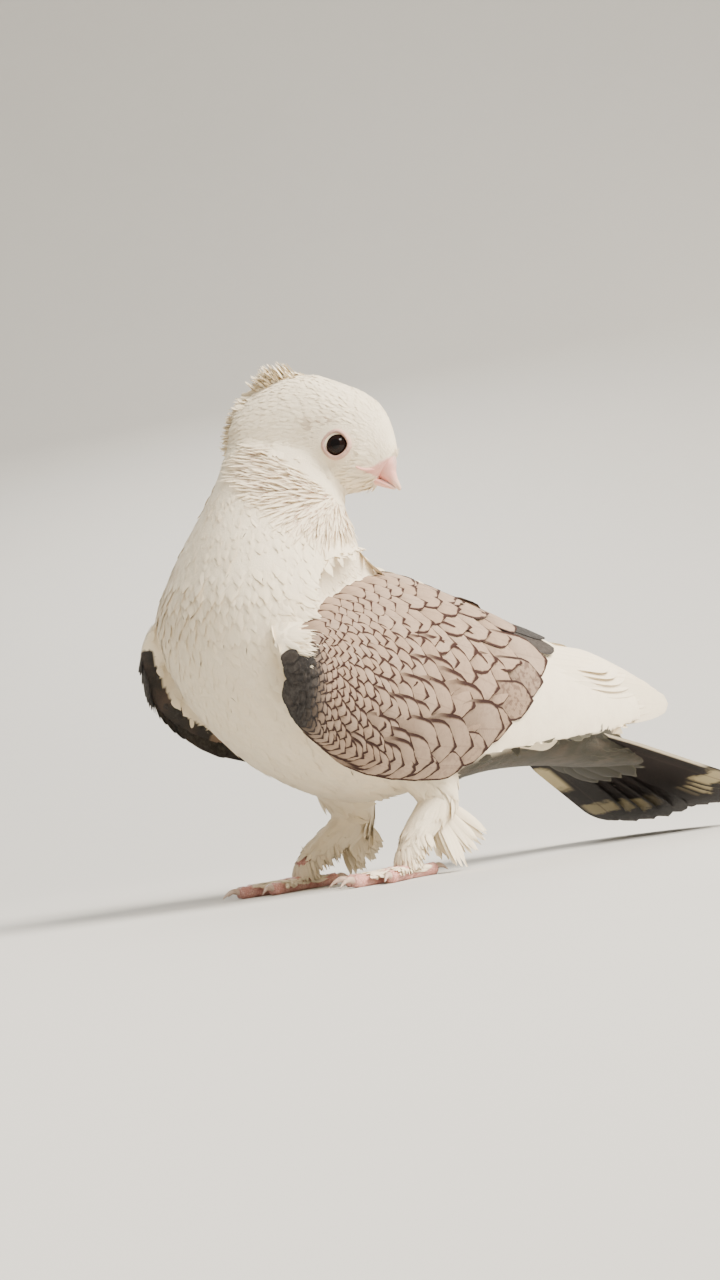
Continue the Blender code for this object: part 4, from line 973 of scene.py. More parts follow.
def eye_distance(place):
    """How far a place is from the nearer eye's middle, seen from the side."""
    ahead, high, _ = head_frame(place)
    return math.hypot(ahead - EYE_AT[0], high - EYE_AT[1])


def frontness(b):
    """One along the middle of the breast, throat and belly, falling to zero at the bird's sides."""
    return max(0.0, 1 - abs(b - 0.5) / 0.25)


def ruffled(row, place):
    """How strongly the feathers stand up here, in the band behind the cheek."""
    if row.region == "head" or (row.region == "body" and row.a > 0.74):
        return ruff_share(place)
    return 0.0


# The parts of the coat

def coat_feather(feathers, root, normal, row, length, width, lift, bend, rag, marks, stray=0.10,
                 thick=0.00020, cup=0.06, roll=0.10, sway=0.05, sink=0.0003):
    """One feather on the skin, lying as its guide says but for a little chance."""
    along = lean_to(row.lie, normal)
    along = (along + normal.cross(along) * swing() * stray).normalized()
    feathers.add(root - normal * sink, along, normal, length, width, thick=thick, lift=lift, bend=bend,
                 sway=swing(sway), cup=cup, rag=rag, blunt=0.45, roll=swing(roll),
                 at=map_place(row.region, row.a, row.b), marks=marks)


def make_body_coat():
    """The white feathers of the breast, flanks, belly and back, and the dark ones under the tail."""
    size = sizes()

    def spacing(row, place):
        if row.region != "body" or not 0.06 <= row.a <= 0.82 or ruffled(row, place) > 0.6:
            return 0.0
        if not neck_side(place, CAPE_MARGIN) and place.x > 0.015 and place.z > 0.060:
            return 0.0
        return BODY_SPACING + BELLY_WIDER * smooth_step(0.66, 0.40, row.a)

    feathers = Feathers()
    for root, normal, row in spread_roots(spacing):
        low = smooth_step(0.66, 0.40, row.a)
        length = size.breast_feather + (size.belly_feather - size.breast_feather) * low
        length *= between(0.85, 1.15)
        vent = under_tail(row.a, row.b) * smooth_step(*VENT_HEIGHT, root.z)
        if 0.0 < vent < 1.0:
            vent = 1.0 if vent > between(0.3, 0.7) else 0.0
        frill = smooth_step(0.60, 0.70, row.a) * smooth_step(0.80, 0.74, row.a)
        frill *= smooth_step(0.5, 0.8, frontness(row.b))
        lift = between(0.045, 0.075) + frill * between(0.0, 0.09)
        # Looseness sets the painted shade at each root: a little on the belly, more under the raised frill
        loose = 0.01 + 0.03 * low * between(0.0, 1.0) + 0.12 * frill
        # Shorter and closer where the skin leaves its form towards the wings
        shoulder = max(smooth_step(0.003, 0.007, (row.place - root).length), shoulder_top(root))
        length *= 1.0 - 0.48 * shoulder
        lift *= 1.0 - 0.45 * shoulder
        coat_feather(feathers, root, normal, row, length, length * 0.50, lift, 0.045, 0.03,
                     (between(0, 1), vent, loose, 0.0), stray=0.09 + 0.14 * frill,
                     roll=0.04 + 0.08 * frill, thick=0.00015, cup=0.04, sink=0.0003 - 0.0002 * shoulder)
    return feathers.mesh("coat_body")


def make_ruffle():
    """The fine raised feathers from the cheek back to the jaw, with painted shade in the down's warm colour
    between them.
    """
    def spacing(row, place):
        return RUFFLE_SPACING if row.region in ("body", "head") and ruffled(row, place) > 0.30 else 0.0

    feathers = Feathers()
    for root, normal, row in spread_roots(spacing):
        ahead, high, _ = head_frame(root)
        slope = math.radians(58.0 * smooth_step(-0.014, -0.032, high) - 8.0)
        lie = head_direction(-math.cos(slope), -math.sin(slope))
        share = ruff_share(root)
        clump = math.sin(high * 2600.0 + math.sin(ahead * 900.0) * 1.4)
        length = between(0.0052, 0.0090)
        width = between(0.00050, 0.00095)
        lift = 0.08 + 0.09 * (clump + 1) * share + between(0.0, 0.06)
        bend = between(0.02, 0.14)
        # The third mark is painted shade between the raised feathers, deeper where the clumps lie lower
        coat_feather(feathers, root, normal, row._replace(lie=lie), length, width, lift, bend, 0.06,
                     (between(0, 1), 0.0, share * (0.9 - 0.35 * clump), 0.0), thick=0.00016, cup=0.10,
                     roll=0.3, sway=0.08)
    return feathers.mesh("coat_ruffle")


def make_neck_coat():
    """The sleek feathers of the neck, the throat and the cheek's edge over the ruffle."""
    def spacing(row, place):
        here = row.region == "body" and row.a > 0.80 and ruffled(row, place) <= 0.65
        return NECK_SPACING if here else 0.0

    feathers = Feathers()
    for root, normal, row in spread_roots(spacing):
        front = smooth_step(0.0, 0.5, frontness(row.b))
        length = between(0.0048, 0.0066)
        lift = between(0.05, 0.085) + 0.06 * front * between(0, 1)
        # The third mark is painted shade at the roots, a little more towards the front of the throat
        marks = (between(0, 1), 0.0, 0.02 + 0.12 * front * between(0, 1), 0.0)
        coat_feather(feathers, root, normal, row, length, length * (0.46 - 0.16 * front), lift, 0.05,
                     0.04, marks, stray=0.12, thick=0.00015, cup=0.05)
    return feathers.mesh("coat_neck")


def beyond_bill_root(place):
    """How far a place lies in front of the plane that the bill stands on."""
    ahead, high, _ = head_frame(place)
    return (ahead - BILL_ROOT[0]) * math.cos(BILL_TILT) + (high - BILL_ROOT[1]) * math.sin(BILL_TILT)


def brow(place):
    """The faint brownish strokes above and behind each eye."""
    ahead, high, _ = head_frame(place)
    above = math.exp(-((ahead - 0.0022) / 0.0050) ** 2 - ((high - 0.0040) / 0.0016) ** 2)
    behind = math.exp(-((ahead + 0.0030) / 0.0024) ** 2 - ((high - 0.0005) / 0.0036) ** 2)
    return min(1.0, above + 0.8 * behind) * (1.0 if between(0, 1) > 0.45 else 0.1)


def make_head_coat():
    """The short, tight feathers of the head, smallest round the eyes and the bill."""
    size = sizes()

    def face(place):
        near_eye = smooth_step(0.0115, 0.0065, eye_distance(place))
        return max(near_eye, smooth_step(0.010, 0.021, head_frame(place)[0]))

    def spacing(row, place):
        if row.region != "head" or ruffled(row, place) > 0.72:
            return 0.0
        if eye_distance(place) < 0.0050 or beyond_bill_root(place) > -0.0003 or bare_face(place) > 0.5:
            return 0.0
        return HEAD_SPACING - FACE_CLOSER * face(place)

    feathers = Feathers()
    for root, normal, row in spread_roots(spacing):
        tight = face(root)
        length = size.head_feather * (1.0 - 0.50 * tight) * between(0.85, 1.2)
        ring = smooth_step(0.0072, 0.0052, eye_distance(root))
        edge = ruffled(row, root)
        ahead, high, _ = head_frame(root)
        cheek = smooth_step(-0.004, -0.010, high) * (1 - tight)
        if ring > 0:
            away = head_direction(ahead - EYE_AT[0], high - EYE_AT[1]).normalized()
            row = row._replace(lie=row.lie * (1 - ring) + away * ring * 1.4)
            length = min(length, 0.0018)
        lift = between(0.10, 0.15) + 0.08 * edge + 0.04 * cheek * between(0, 1)
        # The third mark is painted shade at the roots, deeper by the ruffle and round the eye
        marks = (between(0, 1), 0.0, between(0.0, 0.04) + 0.16 * edge + 0.12 * ring, brow(root))
        coat_feather(feathers, root, normal, row, length * (1 + 0.9 * edge + 0.35 * cheek),
                     length * (0.44 - 0.10 * tight - 0.10 * ring), lift, 0.08, 0.06, marks,
                     stray=0.13 + 0.1 * cheek, thick=0.00012, sink=0.00008)
    return feathers.mesh("coat_head")


def make_crest():
    """The soft ragged peak: short feathers in overlapping clumps up and down the back of the head."""
    size = sizes()
    skin = STORE["skin"]
    feathers = Feathers()
    right = head_direction(0, 0, 1)
    for share, rise, aside, count in CREST_CLUMPS:
        upright = math.exp(-((share - 0.17) / 0.13) ** 2)
        lean = between(-0.20, 0.20)
        for _ in range(count * CREST_DENSITY):
            spot = min(1.0, max(0.0, share + between(-0.05, 0.05)))
            a, b = read_at(CREST_ARC, spot * (len(CREST_ARC) - 1))
            spread = 0.0028 + 0.0012 * upright
            spread_a, spread_b = between(-spread, spread), between(-spread, spread)
            beside = 0.0030 * swing()
            across = max(-0.0095, min(0.0095, aside + beside))
            place, normal, _, _ = skin.find_nearest(head_point(a + spread_a, b + spread_b, across))
            low = between(0.0, 1.0)
            along = head_direction(-0.55 - 0.6 * share, 0.0) + normal * (0.25 + 0.45 * upright) * (0.4 + low)
            along += Vector((0, 0, 1.25 * upright - 0.10 - 0.35 * share * (1 - 0.7 * low)))
            along += right * (lean + across * 14) - right * (across - aside) * 50
            along -= head_direction(spread_a, spread_b) * 45
            length = size.crest_feather * rise * (0.44 + 0.38 * low) * between(0.85, 1.1)
            length *= 1.0 - 0.50 * smooth_step(0.0022, 0.0060, abs(beside))
            out = head_direction(-0.8, 0) + normal * 0.4
            row = STORE["guides"].near(place)
            feathers.add(place - normal * 0.0006, along, out, length, between(0.0010, 0.0020),
                         thick=0.00016, bend=-between(0.02, 0.20), sway=between(-0.10, 0.10), cup=0.08,
                         rag=0.06, blunt=0.34, roll=between(-0.6, 0.6),
                         at=map_place(row.region, row.a, row.b), marks=(between(0, 1), 0.0, 0.0, 0.0))
    return feathers.mesh("crest")


def make_cape_fringe():
    """The loose white feathers of the breast and the shoulders that hang over the front of each shield."""
    feathers = Feathers()
    for side in SIDES:
        for i in range(FRINGE_FEATHERS):
            fringe_feather(feathers, side, i % 3 > 0)
    return feathers.mesh("coat_cape")


def fringe_feather(feathers, side, fine):
    """One feather at a chance place along the cape's edge, either a fine one or a broad one."""
    high, low = CAPE_EDGE
    share = between(0.06, 1.04)
    top = smooth_step(0.36, 0.10, share)
    place = high.lerp(low, share)
    place = Vector((place.x, side * place.y, place.z))
    upward = between(-0.002, 0.004) if fine else between(0.000, 0.012)
    upward += top * 0.004
    start = place + Vector((-upward * (0.6 + 0.3 * top), 0, upward))
    root, normal, _, _ = STORE["skin"].find_nearest(start)
    lie = turned(wing_point(0.30, 0.4) - wing_point(0.15, 0.35), side).normalized()
    lie += Vector((0.5 * top, side * 0.15 * (1 - top), -0.45 - 0.45 * max(0.0, share)))
    along = lean_to(lie, normal)
    stray = (0.20 if fine else 0.08) * (1 - 0.5 * top)
    along = (along + normal.cross(along) * swing() * stray).normalized()
    length = between(0.0048, 0.0085) if fine else between(0.0062, 0.0090)
    length *= 1 + 0.25 * top
    width = between(0.0005, 0.0011) if fine else between(0.0022, 0.0034)
    lift = between(0.10, 0.22) if fine else between(0.07, 0.12)
    lift *= 1 - 0.75 * top
    length *= 1 - 0.5 * shoulder_top(root)
    row = STORE["guides"].near(root)
    feathers.add(root - normal * 0.0002, along, normal, length, width, thick=0.00016, lift=lift,
                 bend=between(0.06, 0.12), sway=swing(0.07), cup=0.05, rag=0.08 if fine else 0.025,
                 blunt=0.40, roll=swing(0.10), at=map_place(row.region, row.a, row.b),
                 marks=(between(0, 1), 0.0, between(0.0, 0.06), 0.0))


def shield_reach(down):
    """How far along the wing its laced feathers reach at a height on it."""
    return float(np.interp(down, [row[0] for row in SHIELD_REACH], [row[1] for row in SHIELD_REACH]))


def shield_rows():
    """Shares of the way to the shield's end at which the rows' tips stand, each with its spacing."""
    size = sizes()
    spot, rows = size.front_covert, []
    while spot < SHIELD_LENGTH:
        pitch = size.front_covert * (size.rear_covert / size.front_covert) ** ((spot / SHIELD_LENGTH) ** 1.35)
        rows.append((spot / SHIELD_LENGTH, min(pitch, LARGEST_PITCH)))
        spot += rows[-1][1] * 0.86
    return rows[:-1] + [(1.0, rows[-1][1])]


def make_lining():
    """The small dusky feathers on the front edge and the inner face of each wing."""
    def spacing(row, place):
        front = row.region.startswith("wing") and row.a <= 0.34
        return LINING_SPACING if front and (row.place - place).length >= 0.0022 else 0.0

    feathers = Feathers()
    for root, normal, row in spread_roots(spacing):
        length = between(0.0060, 0.0080)
        coat_feather(feathers, root, normal, row, length, length * 0.50, between(0.05, 0.09), 0.05, 0.03,
                     (between(0, 1), 1.0, 0.10, 0.0), stray=0.12, thick=0.0002)
    return feathers.mesh("wing_lining")


def scale_fall(share, down):
    """How far a laced feather leans down from the wing's length, in degrees."""
    fall = 5.0 + 40.0 * smooth_step(0.05, 0.5, down) * smooth_step(0.50, 0.12, share)
    fall += 14.0 * smooth_step(0.1, 0.5, down) * smooth_step(0.25, 0.5, share)
    fall *= 1.0 - 0.85 * smooth_step(0.74, 0.95, down)
    return fall


def bend_shade(side, tip, down):
    """One in the dark patch at the wing's bend, which runs down the whole front on the right; there it is
    partly painted shade.
    """
    # On the right wing the patch widens downward, standing partly for the shade the far wing lies in
    front, deep = (0.170, 0.095) if side < 0 else (0.34 + 0.26 * down, 0.22 + 0.26 * down)
    return smooth_step(front, deep, tip) * smooth_step(0.15, 0.38, down if side < 0 else 1.0)


def make_shield(side):
    """The laced feathers of one wing's shield, in rows of rounded scales."""
    feathers = Feathers()
    for index, (share, pitch) in enumerate(shield_rows()):
        middle = SHIELD_START + share * (shield_reach(0.5) - SHIELD_START)
        steps = [wing_point(middle, j / 12) for j in range(13)]
        breadth = sum((p - q).length for p, q in zip(steps, steps[1:]))
        across_pitch = pitch * (1.0 - 0.24 * share)
        count = max(3, round(breadth / across_pitch))
        width = across_pitch * 1.62
        ridge = RIDGE_CLEAR + 0.42 * width / breadth
        for i in range(count + 1):
            down = (i + 0.5 * (index % 2) + between(-0.16, 0.16)) / (count + 0.5)
            down = min(1.0 - 0.20 * width / breadth, max(ridge, down))
            fall = math.radians(scale_fall(share, down) + between(-5.0, 5.0))
            length = pitch * (2.40 - 0.50 * share) * between(0.94, 1.06)
            tip = SHIELD_START + share * (shield_reach(down) - SHIELD_START) + between(-0.5, 0.5) * pitch
            along = max(0.004, tip - length * math.cos(fall) / WING_REACH)
            down_root = max(ridge * 0.8, down - length * math.sin(fall) / breadth)
            root = wing_point(along, down_root, -0.0009)
            if neck_side(on_side(root, side), -0.001):
                continue
            ahead = (wing_point(along + 0.04, down_root) - wing_point(along, down_root)).normalized()
            higher, lower = max(0.0, down_root - 0.04), min(1.0, down_root + 0.04)
            downward = (wing_point(along, lower) - wing_point(along, higher)).normalized()
            out = wing_normal(along + 0.02, down_root)
            lie = ahead * math.cos(fall) + downward * math.sin(fall) + out * (0.0018 / length)
            lace = 0.30 - 0.15 * share
            feathers.add(on_side(root, side), turned(lie, side), turned(out, side), length,
                         width * between(0.95, 1.05), thick=0.0003, lift=0.01,
                         bend=0.024 if down < 0.9 else 0.0, sway=between(-0.04, 0.04), cup=0.030,
                         rag=0.010, blunt=0.68, roll=side * 0.03,
                         at=map_place("wing_" + SIDES[side], along, down), patch=0.006 + 0.006 * share,
                         marks=(between(0, 1), bend_shade(side, tip, down) * between(0.93, 1.0),
                                lace * between(0.85, 1.1), 0.25 * share))
    add_shield_ends(feathers, side)
    return feathers.mesh("shield", side)


def add_shield_ends(feathers, side):
    """The last long feathers of the shield, over the white ones and along its lower edge."""
    for tip, down, length, width, dark, streak in SHIELD_ENDS:
        along = tip - length / WING_REACH
        root = wing_point(along, down, -0.0014)
        ahead = (wing_point(tip, down) - root).normalized()
        out = wing_normal(along + 0.08, down)
        lie = ahead + out * (0.0019 / length)
        # On the right wing the front ends are all dark, partly painted shade as in its widened bend patch
        dark = dark if side < 0 or tip > 0.5 else 1.0
        feathers.add(on_side(root, side), turned(lie, side), turned(out, side), length, width,
                     thick=0.0004, bend=0.006, cup=0.02, rag=0.008, blunt=0.76,
                     at=map_place("wing_" + SIDES[side], along + 0.1, down), patch=0.012,
                     marks=(between(0, 1), dark, 0.13, streak))


def add_flight(feathers, root, tip, out, width, cup, blunt, at, patch, grade):
    """One long white feather from its root to its tip."""
    feathers.add(root, tip - root, out, (tip - root).length, width, thick=0.0004, cup=cup, rag=0.003,
                 blunt=blunt, at=at, patch=patch, marks=(between(0, 1), 0.0, 0.15, grade))


def make_flights(side):
    """The long white feathers of one folded wing, stacked on edge with stepped tips."""
    feathers = Feathers()
    for i in range(PRIMARIES):
        share = i / (PRIMARIES - 1)
        depth = 0.0050 + 0.0016 * (1 - share)
        down = 0.76 - 0.52 * share
        root = on_side(wing_point(0.44 + 0.30 * share, down, -depth), side)
        tip = on_side(WING_TIP + PRIMARY_STEP * share, side)
        out = turned(wing_normal(0.75, down), side)
        at = (0.05 + 0.10 * i, 0.30)
        add_flight(feathers, root, tip, out, 0.0165, 0.004, 0.74, at, (0.09, 0.55), share)
    for i in range(INNER_FLIGHTS):
        share = i / (INNER_FLIGHTS - 1)
        down = 0.88 - 0.62 * share
        depth = 0.0012 + 0.0014 * (1 - share)
        root = on_side(wing_point(0.50 + 0.17 * share, 0.82 - 0.56 * share, -depth - 0.0026), side)
        low = down + 0.06 * (1 - share)
        tip = on_side(wing_point(0.74 + 0.13 * share, low, -depth * 0.5 - 0.0020), side)
        out = turned(wing_normal(0.70, min(0.95, down)), side)
        at = (0.05 + 0.10 * i, 0.80)
        add_flight(feathers, root, tip, out, 0.0180, 0.006, 0.82, at, (0.09, 0.35), 0.2)
    return feathers.mesh("flights", side)


def tail_frame():
    """The tail's directions: along it, out of its upper face, and across it to the right."""
    flat = Vector((math.cos(TAIL_YAW), math.sin(TAIL_YAW), 0))
    along = flat * math.cos(TAIL_PITCH) + Vector((0, 0, math.sin(TAIL_PITCH)))
    across = Vector((-flat.y, flat.x, 0))
    up = along.cross(across)
    turned_across = across * math.cos(TAIL_ROLL) - up * math.sin(TAIL_ROLL)
    return along, along.cross(turned_across), turned_across


def make_tail():
    """The dark tail feathers with pale spots near the outer ones' tips, the middle ones on top."""
    along, up, across = tail_frame()
    feathers = Feathers()
    half = TAIL_FEATHERS // 2
    for i in range(TAIL_FEATHERS):
        share = 2 * i / (TAIL_FEATHERS - 1) - 1
        level = (half - i - 0.5 if i < half else i - half) * TAIL_STACK
        angle = TAIL_FAN * share
        direction = along * math.cos(angle) + across * math.sin(angle)
        root = TAIL_ROOT + across * (TAIL_SPREAD * share) - up * level
        length = TAIL_LENGTH - TAIL_OUTER_LESS * abs(share) ** 3
        spotted = smooth_step(0.35, 0.65, abs(share))
        near, far = smooth_step(-0.8, -0.95, share), smooth_step(0.8, 0.95, share)
        feathers.add(root, direction, up, length, TAIL_WIDTH, thick=0.0005, cup=0.02, rag=0.004,
                     blunt=0.86, at=(0.04 + 0.082 * i, 0.5), patch=(0.075, 0.9),
                     marks=(between(0, 1), spotted, far, near))
    return feathers.mesh("tail_feathers")


def make_tail_coverts():
    """Tiers of feathers over and under the roots of the tail feathers."""
    along, up, across = tail_frame()
    feathers = Feathers()
    for sign, rows, first, length, width, depth, count, pitch, spread in TAIL_COVERTS:
        for row in range(rows - 1, -1, -1):
            for i in range(count + row % 2):
                share = 2 * (i + 0.5) / (count + row % 2) - 1
                direction = along + across * (0.22 * share + between(-0.04, 0.04)) + up * (sign * -0.055)
                root = TAIL_ROOT + along * (first + pitch * row) + across * (spread * share)
                root += up * (sign * (depth + 0.0010 - 0.0022 * share * share))
                feathers.add(root, direction, up * sign, length * between(0.90, 1.08), width,
                             thick=0.0003, lift=0.02, bend=0.02, cup=0.08, rag=0.03, blunt=0.6,
                             roll=between(-0.08, 0.08), patch=(0.05, 0.12),
                             at=(0.3 * (sign + 1) + 0.06 * i + 0.05, 0.1 + 0.14 * row),
                             marks=(between(0, 1), 1.0 if sign < 0 else 0.0, 0.06, 0.0))
    return feathers.mesh("tail_coverts")


def make_leg_coat():
    """The hanging feathers of the thighs and the shanks."""
    def spacing(row, place):
        if not row.region.startswith("leg") or (place.z > 0.0335 and abs(place.y) > 0.030):
            return 0.0
        return THIGH_SPACING if row.a < 0.5 else SHANK_SPACING

    feathers = Feathers()
    for root, normal, row in spread_roots(spacing):
        low = smooth_step(0.35, 0.75, row.a)
        length = (0.0092 - 0.0036 * low) * between(0.85, 1.15)
        if root.z - length < LOWEST_FEATHER:
            length = max(0.002, root.z - LOWEST_FEATHER)
        coat_feather(feathers, root, normal, row, length, length * 0.34, between(0.07, 0.14), 0.07, 0.06,
                     (between(0, 1), 0.0, between(0.02, 0.14), 0.0), stray=0.12)
    return feathers.mesh("coat_legs")


def make_muffs():
    """The tuft of long curled feathers behind each hock, and the small feathers on the ankles and toes."""
    feathers = Feathers()
    for side in SIDES:
        add_tuft(feathers, side)
        add_ankle_feathers(feathers, side)
        for toe, ahead, length in toes(side):
            add_toe_feathers(feathers, side, toe, ahead, length)
    return feathers.mesh("muffs")


def add_tuft(feathers, side):
    """The long curled feathers behind one hock, in three layers."""
    flare, spread, shortness = MUFFS[side]
    _, hock, ankle = leg_places(side)
    for i in range(MUFF_FEATHERS):
        share = (i % MUFF_ROW) / (MUFF_ROW - 1)
        inner = i // MUFF_ROW
        fall = math.radians(36.0 + spread * share + between(-3.0, 3.0))
        root = hock.lerp(ankle, 0.10 + 0.22 * share)
        root += Vector((0.0012, side * (0.0015 - 0.0015 * inner), 0))
        aside = side * (flare - 0.10 * inner + between(-0.05, 0.05))
        along = Vector((math.cos(fall), aside, -math.sin(fall)))
        length = sizes().muff_feather * between(0.90, 1.04) * (1 - 0.12 * inner) * shortness
        length = min(length, (root.z - 0.0016) / max(0.05, math.sin(fall) + 0.06))
        feathers.add(root, along, Vector((0, side, 0.2)), length, 0.0040, thick=0.0003, lift=0.03,
                     bend=0.12, sway=-side * 0.10 + between(-0.05, 0.05), cup=0.10, rag=0.05, blunt=0.50,
                     roll=between(-0.14, 0.14), patch=0.008, marks=(between(0, 1), 0.0, 0.08, 0.0),
                     at=map_place("leg_" + SIDES[side], 0.6 + 0.02 * share, share))


def add_ankle_feathers(feathers, side):
    """The small feathers that hang round one ankle."""
    _, hock, ankle = leg_places(side)
    for _ in range(ANKLE_FEATHERS):
        heading = between(-math.pi, math.pi)
        radial = Vector((math.cos(heading), math.sin(heading), 0))
        height = between(0.0062, 0.0150)
        axis = ankle.lerp(hock, max(0.0, (height - ankle.z) / (hock.z - ankle.z)))
        root = Vector((axis.x, axis.y, height)) + radial * (0.0036 + 0.28 * max(0.0, height - 0.009))
        length = min(between(0.0040, 0.0056), height - LOWEST_FEATHER - 0.0012)
        feathers.add(root, radial * between(0.25, 0.5) + Vector((0, 0, -1)), radial, length,
                     between(0.0012, 0.0020), thick=0.0002, lift=0.05, bend=0.10,
                     sway=between(-0.1, 0.1), cup=0.10, rag=0.05, blunt=0.4, roll=between(-0.2, 0.2),
                     at=map_place("leg_" + SIDES[side], 0.95, 0.5), marks=(between(0, 1), 0.0, 0.10, 0.0))


def add_toe_feathers(feathers, side, toe, ahead, length):
    """The small feathers on top of one toe."""
    _, _, ankle = leg_places(side)
    start = Vector((ankle.x - TOE_BACK, ankle.y, TOE_HEIGHT))
    across = Vector((-ahead.y, ahead.x, 0))
    count, reach = HIND_TOE_TUFT if toe == "hind" else FRONT_TOE_TUFT
    for _ in range(count):
        share = between(-0.05, reach)
        tilt = math.radians(between(-85.0, 85.0))
        radius = TOE_SLIM * TOE_RADIUS * (1.20 - 0.34 * max(0.0, share))
        out = across * math.sin(tilt) + Vector((0, 0, math.cos(tilt)))
        root = start + ahead * (length * share) + out * (radius - 0.0001)
        along = ahead + across * (math.sin(tilt) * 0.30 + between(-0.15, 0.15))
        along += Vector((0, 0, between(-0.05, 0.06)))
        feathers.add(root, along, out, between(0.0032, 0.0058), between(0.0009, 0.0017), thick=0.00018,
                     lift=0.10, bend=0.14, sway=between(-0.1, 0.1), cup=0.12, rag=0.06, blunt=0.4,
                     roll=between(-0.2, 0.2), at=map_place("leg_" + SIDES[side], 0.9, max(0.0, share)),
                     marks=(between(0, 1), 0.0, 0.12, 0.0))


# Bare parts

def toes(side):
    """Each toe's name, direction and length."""
    heading = math.radians(180.0 - side * LEGS[side]["turn"])
    for toe, turn, length in TOES:
        angle = heading - side * math.radians(turn)
        yield toe, Vector((math.cos(angle), math.sin(angle), 0)), length


def make_foot(side):
    """The scaled toes, with pads below and a row of shields on top, and the ankle they meet at."""
    _, hock, ankle = leg_places(side)
    low = Vector((ankle.x - TOE_BACK, ankle.y, 0.0030))
    shaped = bmesh.new()
    stations = ((ankle.lerp(hock, 0.10), 0.0020, 0.0020), (ankle, 0.0029, 0.0029), (low, 0.0031, 0.0035))
    loft_into(shaped, limb_rings(stations, 16))
    for _, ahead, length in toes(side):
        across = Vector((-ahead.y, ahead.x, 0))
        rings = []
        for i in range(34):
            t = i / 33
            radius = TOE_SLIM * TOE_RADIUS * (1.20 - 0.34 * t + 0.10 * math.sin(t * 2.4 * math.pi))
            radius *= 1 if t < 0.96 else 0.8
            shield = 0.00022 * abs(math.sin(t * math.pi * 9))
            pad = 0.0002 * abs(math.sin(t * math.pi * 4))
            middle = Vector((low.x, low.y, 0)) + ahead * (length * t)
            ring = []
            for angle in circle(14):
                upward = math.cos(angle)
                reach = radius + (shield * max(0.0, upward) + pad * max(0.0, -upward))
                height = max(0.0, TOE_HEIGHT + reach * upward)
                ring.append(middle + across * (reach * math.sin(angle) * 0.92) + Vector((0, 0, height)))
            rings.append(ring)
        loft_into(shaped, rings)
    return finished(mesh_object("foot_" + SIDES[side] + "_scaled", shaped))


def make_claws(side):
    """The curved nails, each from the end of its toe."""
    _, _, ankle = leg_places(side)
    shaped = bmesh.new()
    for _, ahead, length in toes(side):
        root = Vector((ankle.x - TOE_BACK, ankle.y, 0.0021)) + ahead * (length - 0.0008)
        across = Vector((-ahead.y, ahead.x, 0))
        rings = []
        for i in range(12):
            t = i / 11
            radius = 0.00135 * (1 - t) ** 0.7 + 0.0001
            rise = Vector((0, 0, 0.0010 * math.sin(math.pi * t) - 0.0012 * t * t))
            middle = root + ahead * ((CLAW_LENGTH + 0.0008) * t) + rise
            ring = []
            for angle in circle(10):
                upward = math.cos(angle)
                height = max(0.0001, middle.z + radius * upward * (1.1 if upward > 0 else 0.8))
                aside = across * (radius * 0.8 * math.sin(angle))
                ring.append(Vector((middle.x, middle.y, height)) + aside)
            rings.append(ring)
        loft_into(shaped, rings)
    return finished(mesh_object("claws_" + SIDES[side], shaped))


def bill_rings(rows, around, count, start):
    """Rings of one half of the bill, from its root to its tip."""
    along, up = bill_axes()
    rings = []
    for distance, top, low, half_width in read_evenly(rows, count):
        base = Vector((BILL_ROOT[0], 0, BILL_ROOT[1])) + along * (distance + start)
        ring = ring_between(base + up * top, base + up * low, half_width, around, BILL_FULLNESS)
        rings.append([head_point(p.x, p.z, p.y) for p in ring])
    return rings


def swell_cere(mesh):
    """Raises the cere over the bill's root and sinks a slit for each nostril."""
    along, up = bill_axes()
    for v in mesh.vertices:
        ahead, high, aside = head_frame(v.co)
        away = Vector((ahead - BILL_ROOT[0], 0, high - BILL_ROOT[1]))
        t, h = away.dot(along), away.dot(up)
        swell = math.exp(-((t - 0.0010) / 0.0013) ** 2 - ((h - 0.0030) / 0.0018) ** 2)
        slit = math.exp(-((t - 0.0031) / 0.0009) ** 2 - ((h - 0.0011) / 0.0003) ** 2)
        slit *= min(1.0, abs(aside) / 0.002)
        outward = head_direction(0, 0, 1 if aside > 0 else -1)
        v.co += outward * (0.0004 * swell - 0.0007 * slit) + head_direction(0.3, 0.5) * (0.0003 * swell)


def gape_rings(side):
    """A thin fleshy strip that carries the line of the mouth back from the bill on one cheek."""
    rings = []
    across, up = head_direction(0, 0, side).normalized(), head_direction(0, 1)
    for i in range(15):
        t = i / 14
        ahead = GAPE[0][0] + (GAPE[1][0] - GAPE[0][0]) * t
        high = GAPE[0][1] + (GAPE[1][1] - GAPE[0][1]) * t - 0.0006 * math.sin(math.pi * t)
        place, normal, _, _ = STORE["skin"].find_nearest(head_point(ahead, high) + across * 0.012)
        radius = 0.00012 + 0.00032 * math.sin(math.pi * min(1.0, 0.06 + t)) ** 0.6
        ring = []
        for angle in circle(10):
            out = normal * (0.0006 + radius * math.sin(angle) * 1.1)
            ring.append(place + out + up * (radius * 1.2 * math.cos(angle)))
        rings.append(ring)
    return rings


def bill_axes():
    """Along the bill and up from it, in the head's upright plane."""
    along = Vector((math.cos(BILL_TILT), 0, math.sin(BILL_TILT)))
    return along, Vector((-along.z, 0, along.x))


def make_bill(upper):
    """One half of the bill: the upper one with its cere and nostrils, the lower one with the gape."""
    shaped = bmesh.new()
    if upper:
        loft_into(shaped, bill_rings(UPPER_BILL, 40, 48, -0.0016))
        made = mesh_object("bill_upper_horn", shaped)
        swell_cere(made.data)
        return finished(made)
    loft_into(shaped, bill_rings(LOWER_BILL, 40, 48, -0.0012))
    for side in SIDES:
        loft_into(shaped, gape_rings(side))
    return finished(mesh_object("bill_lower_horn", shaped))


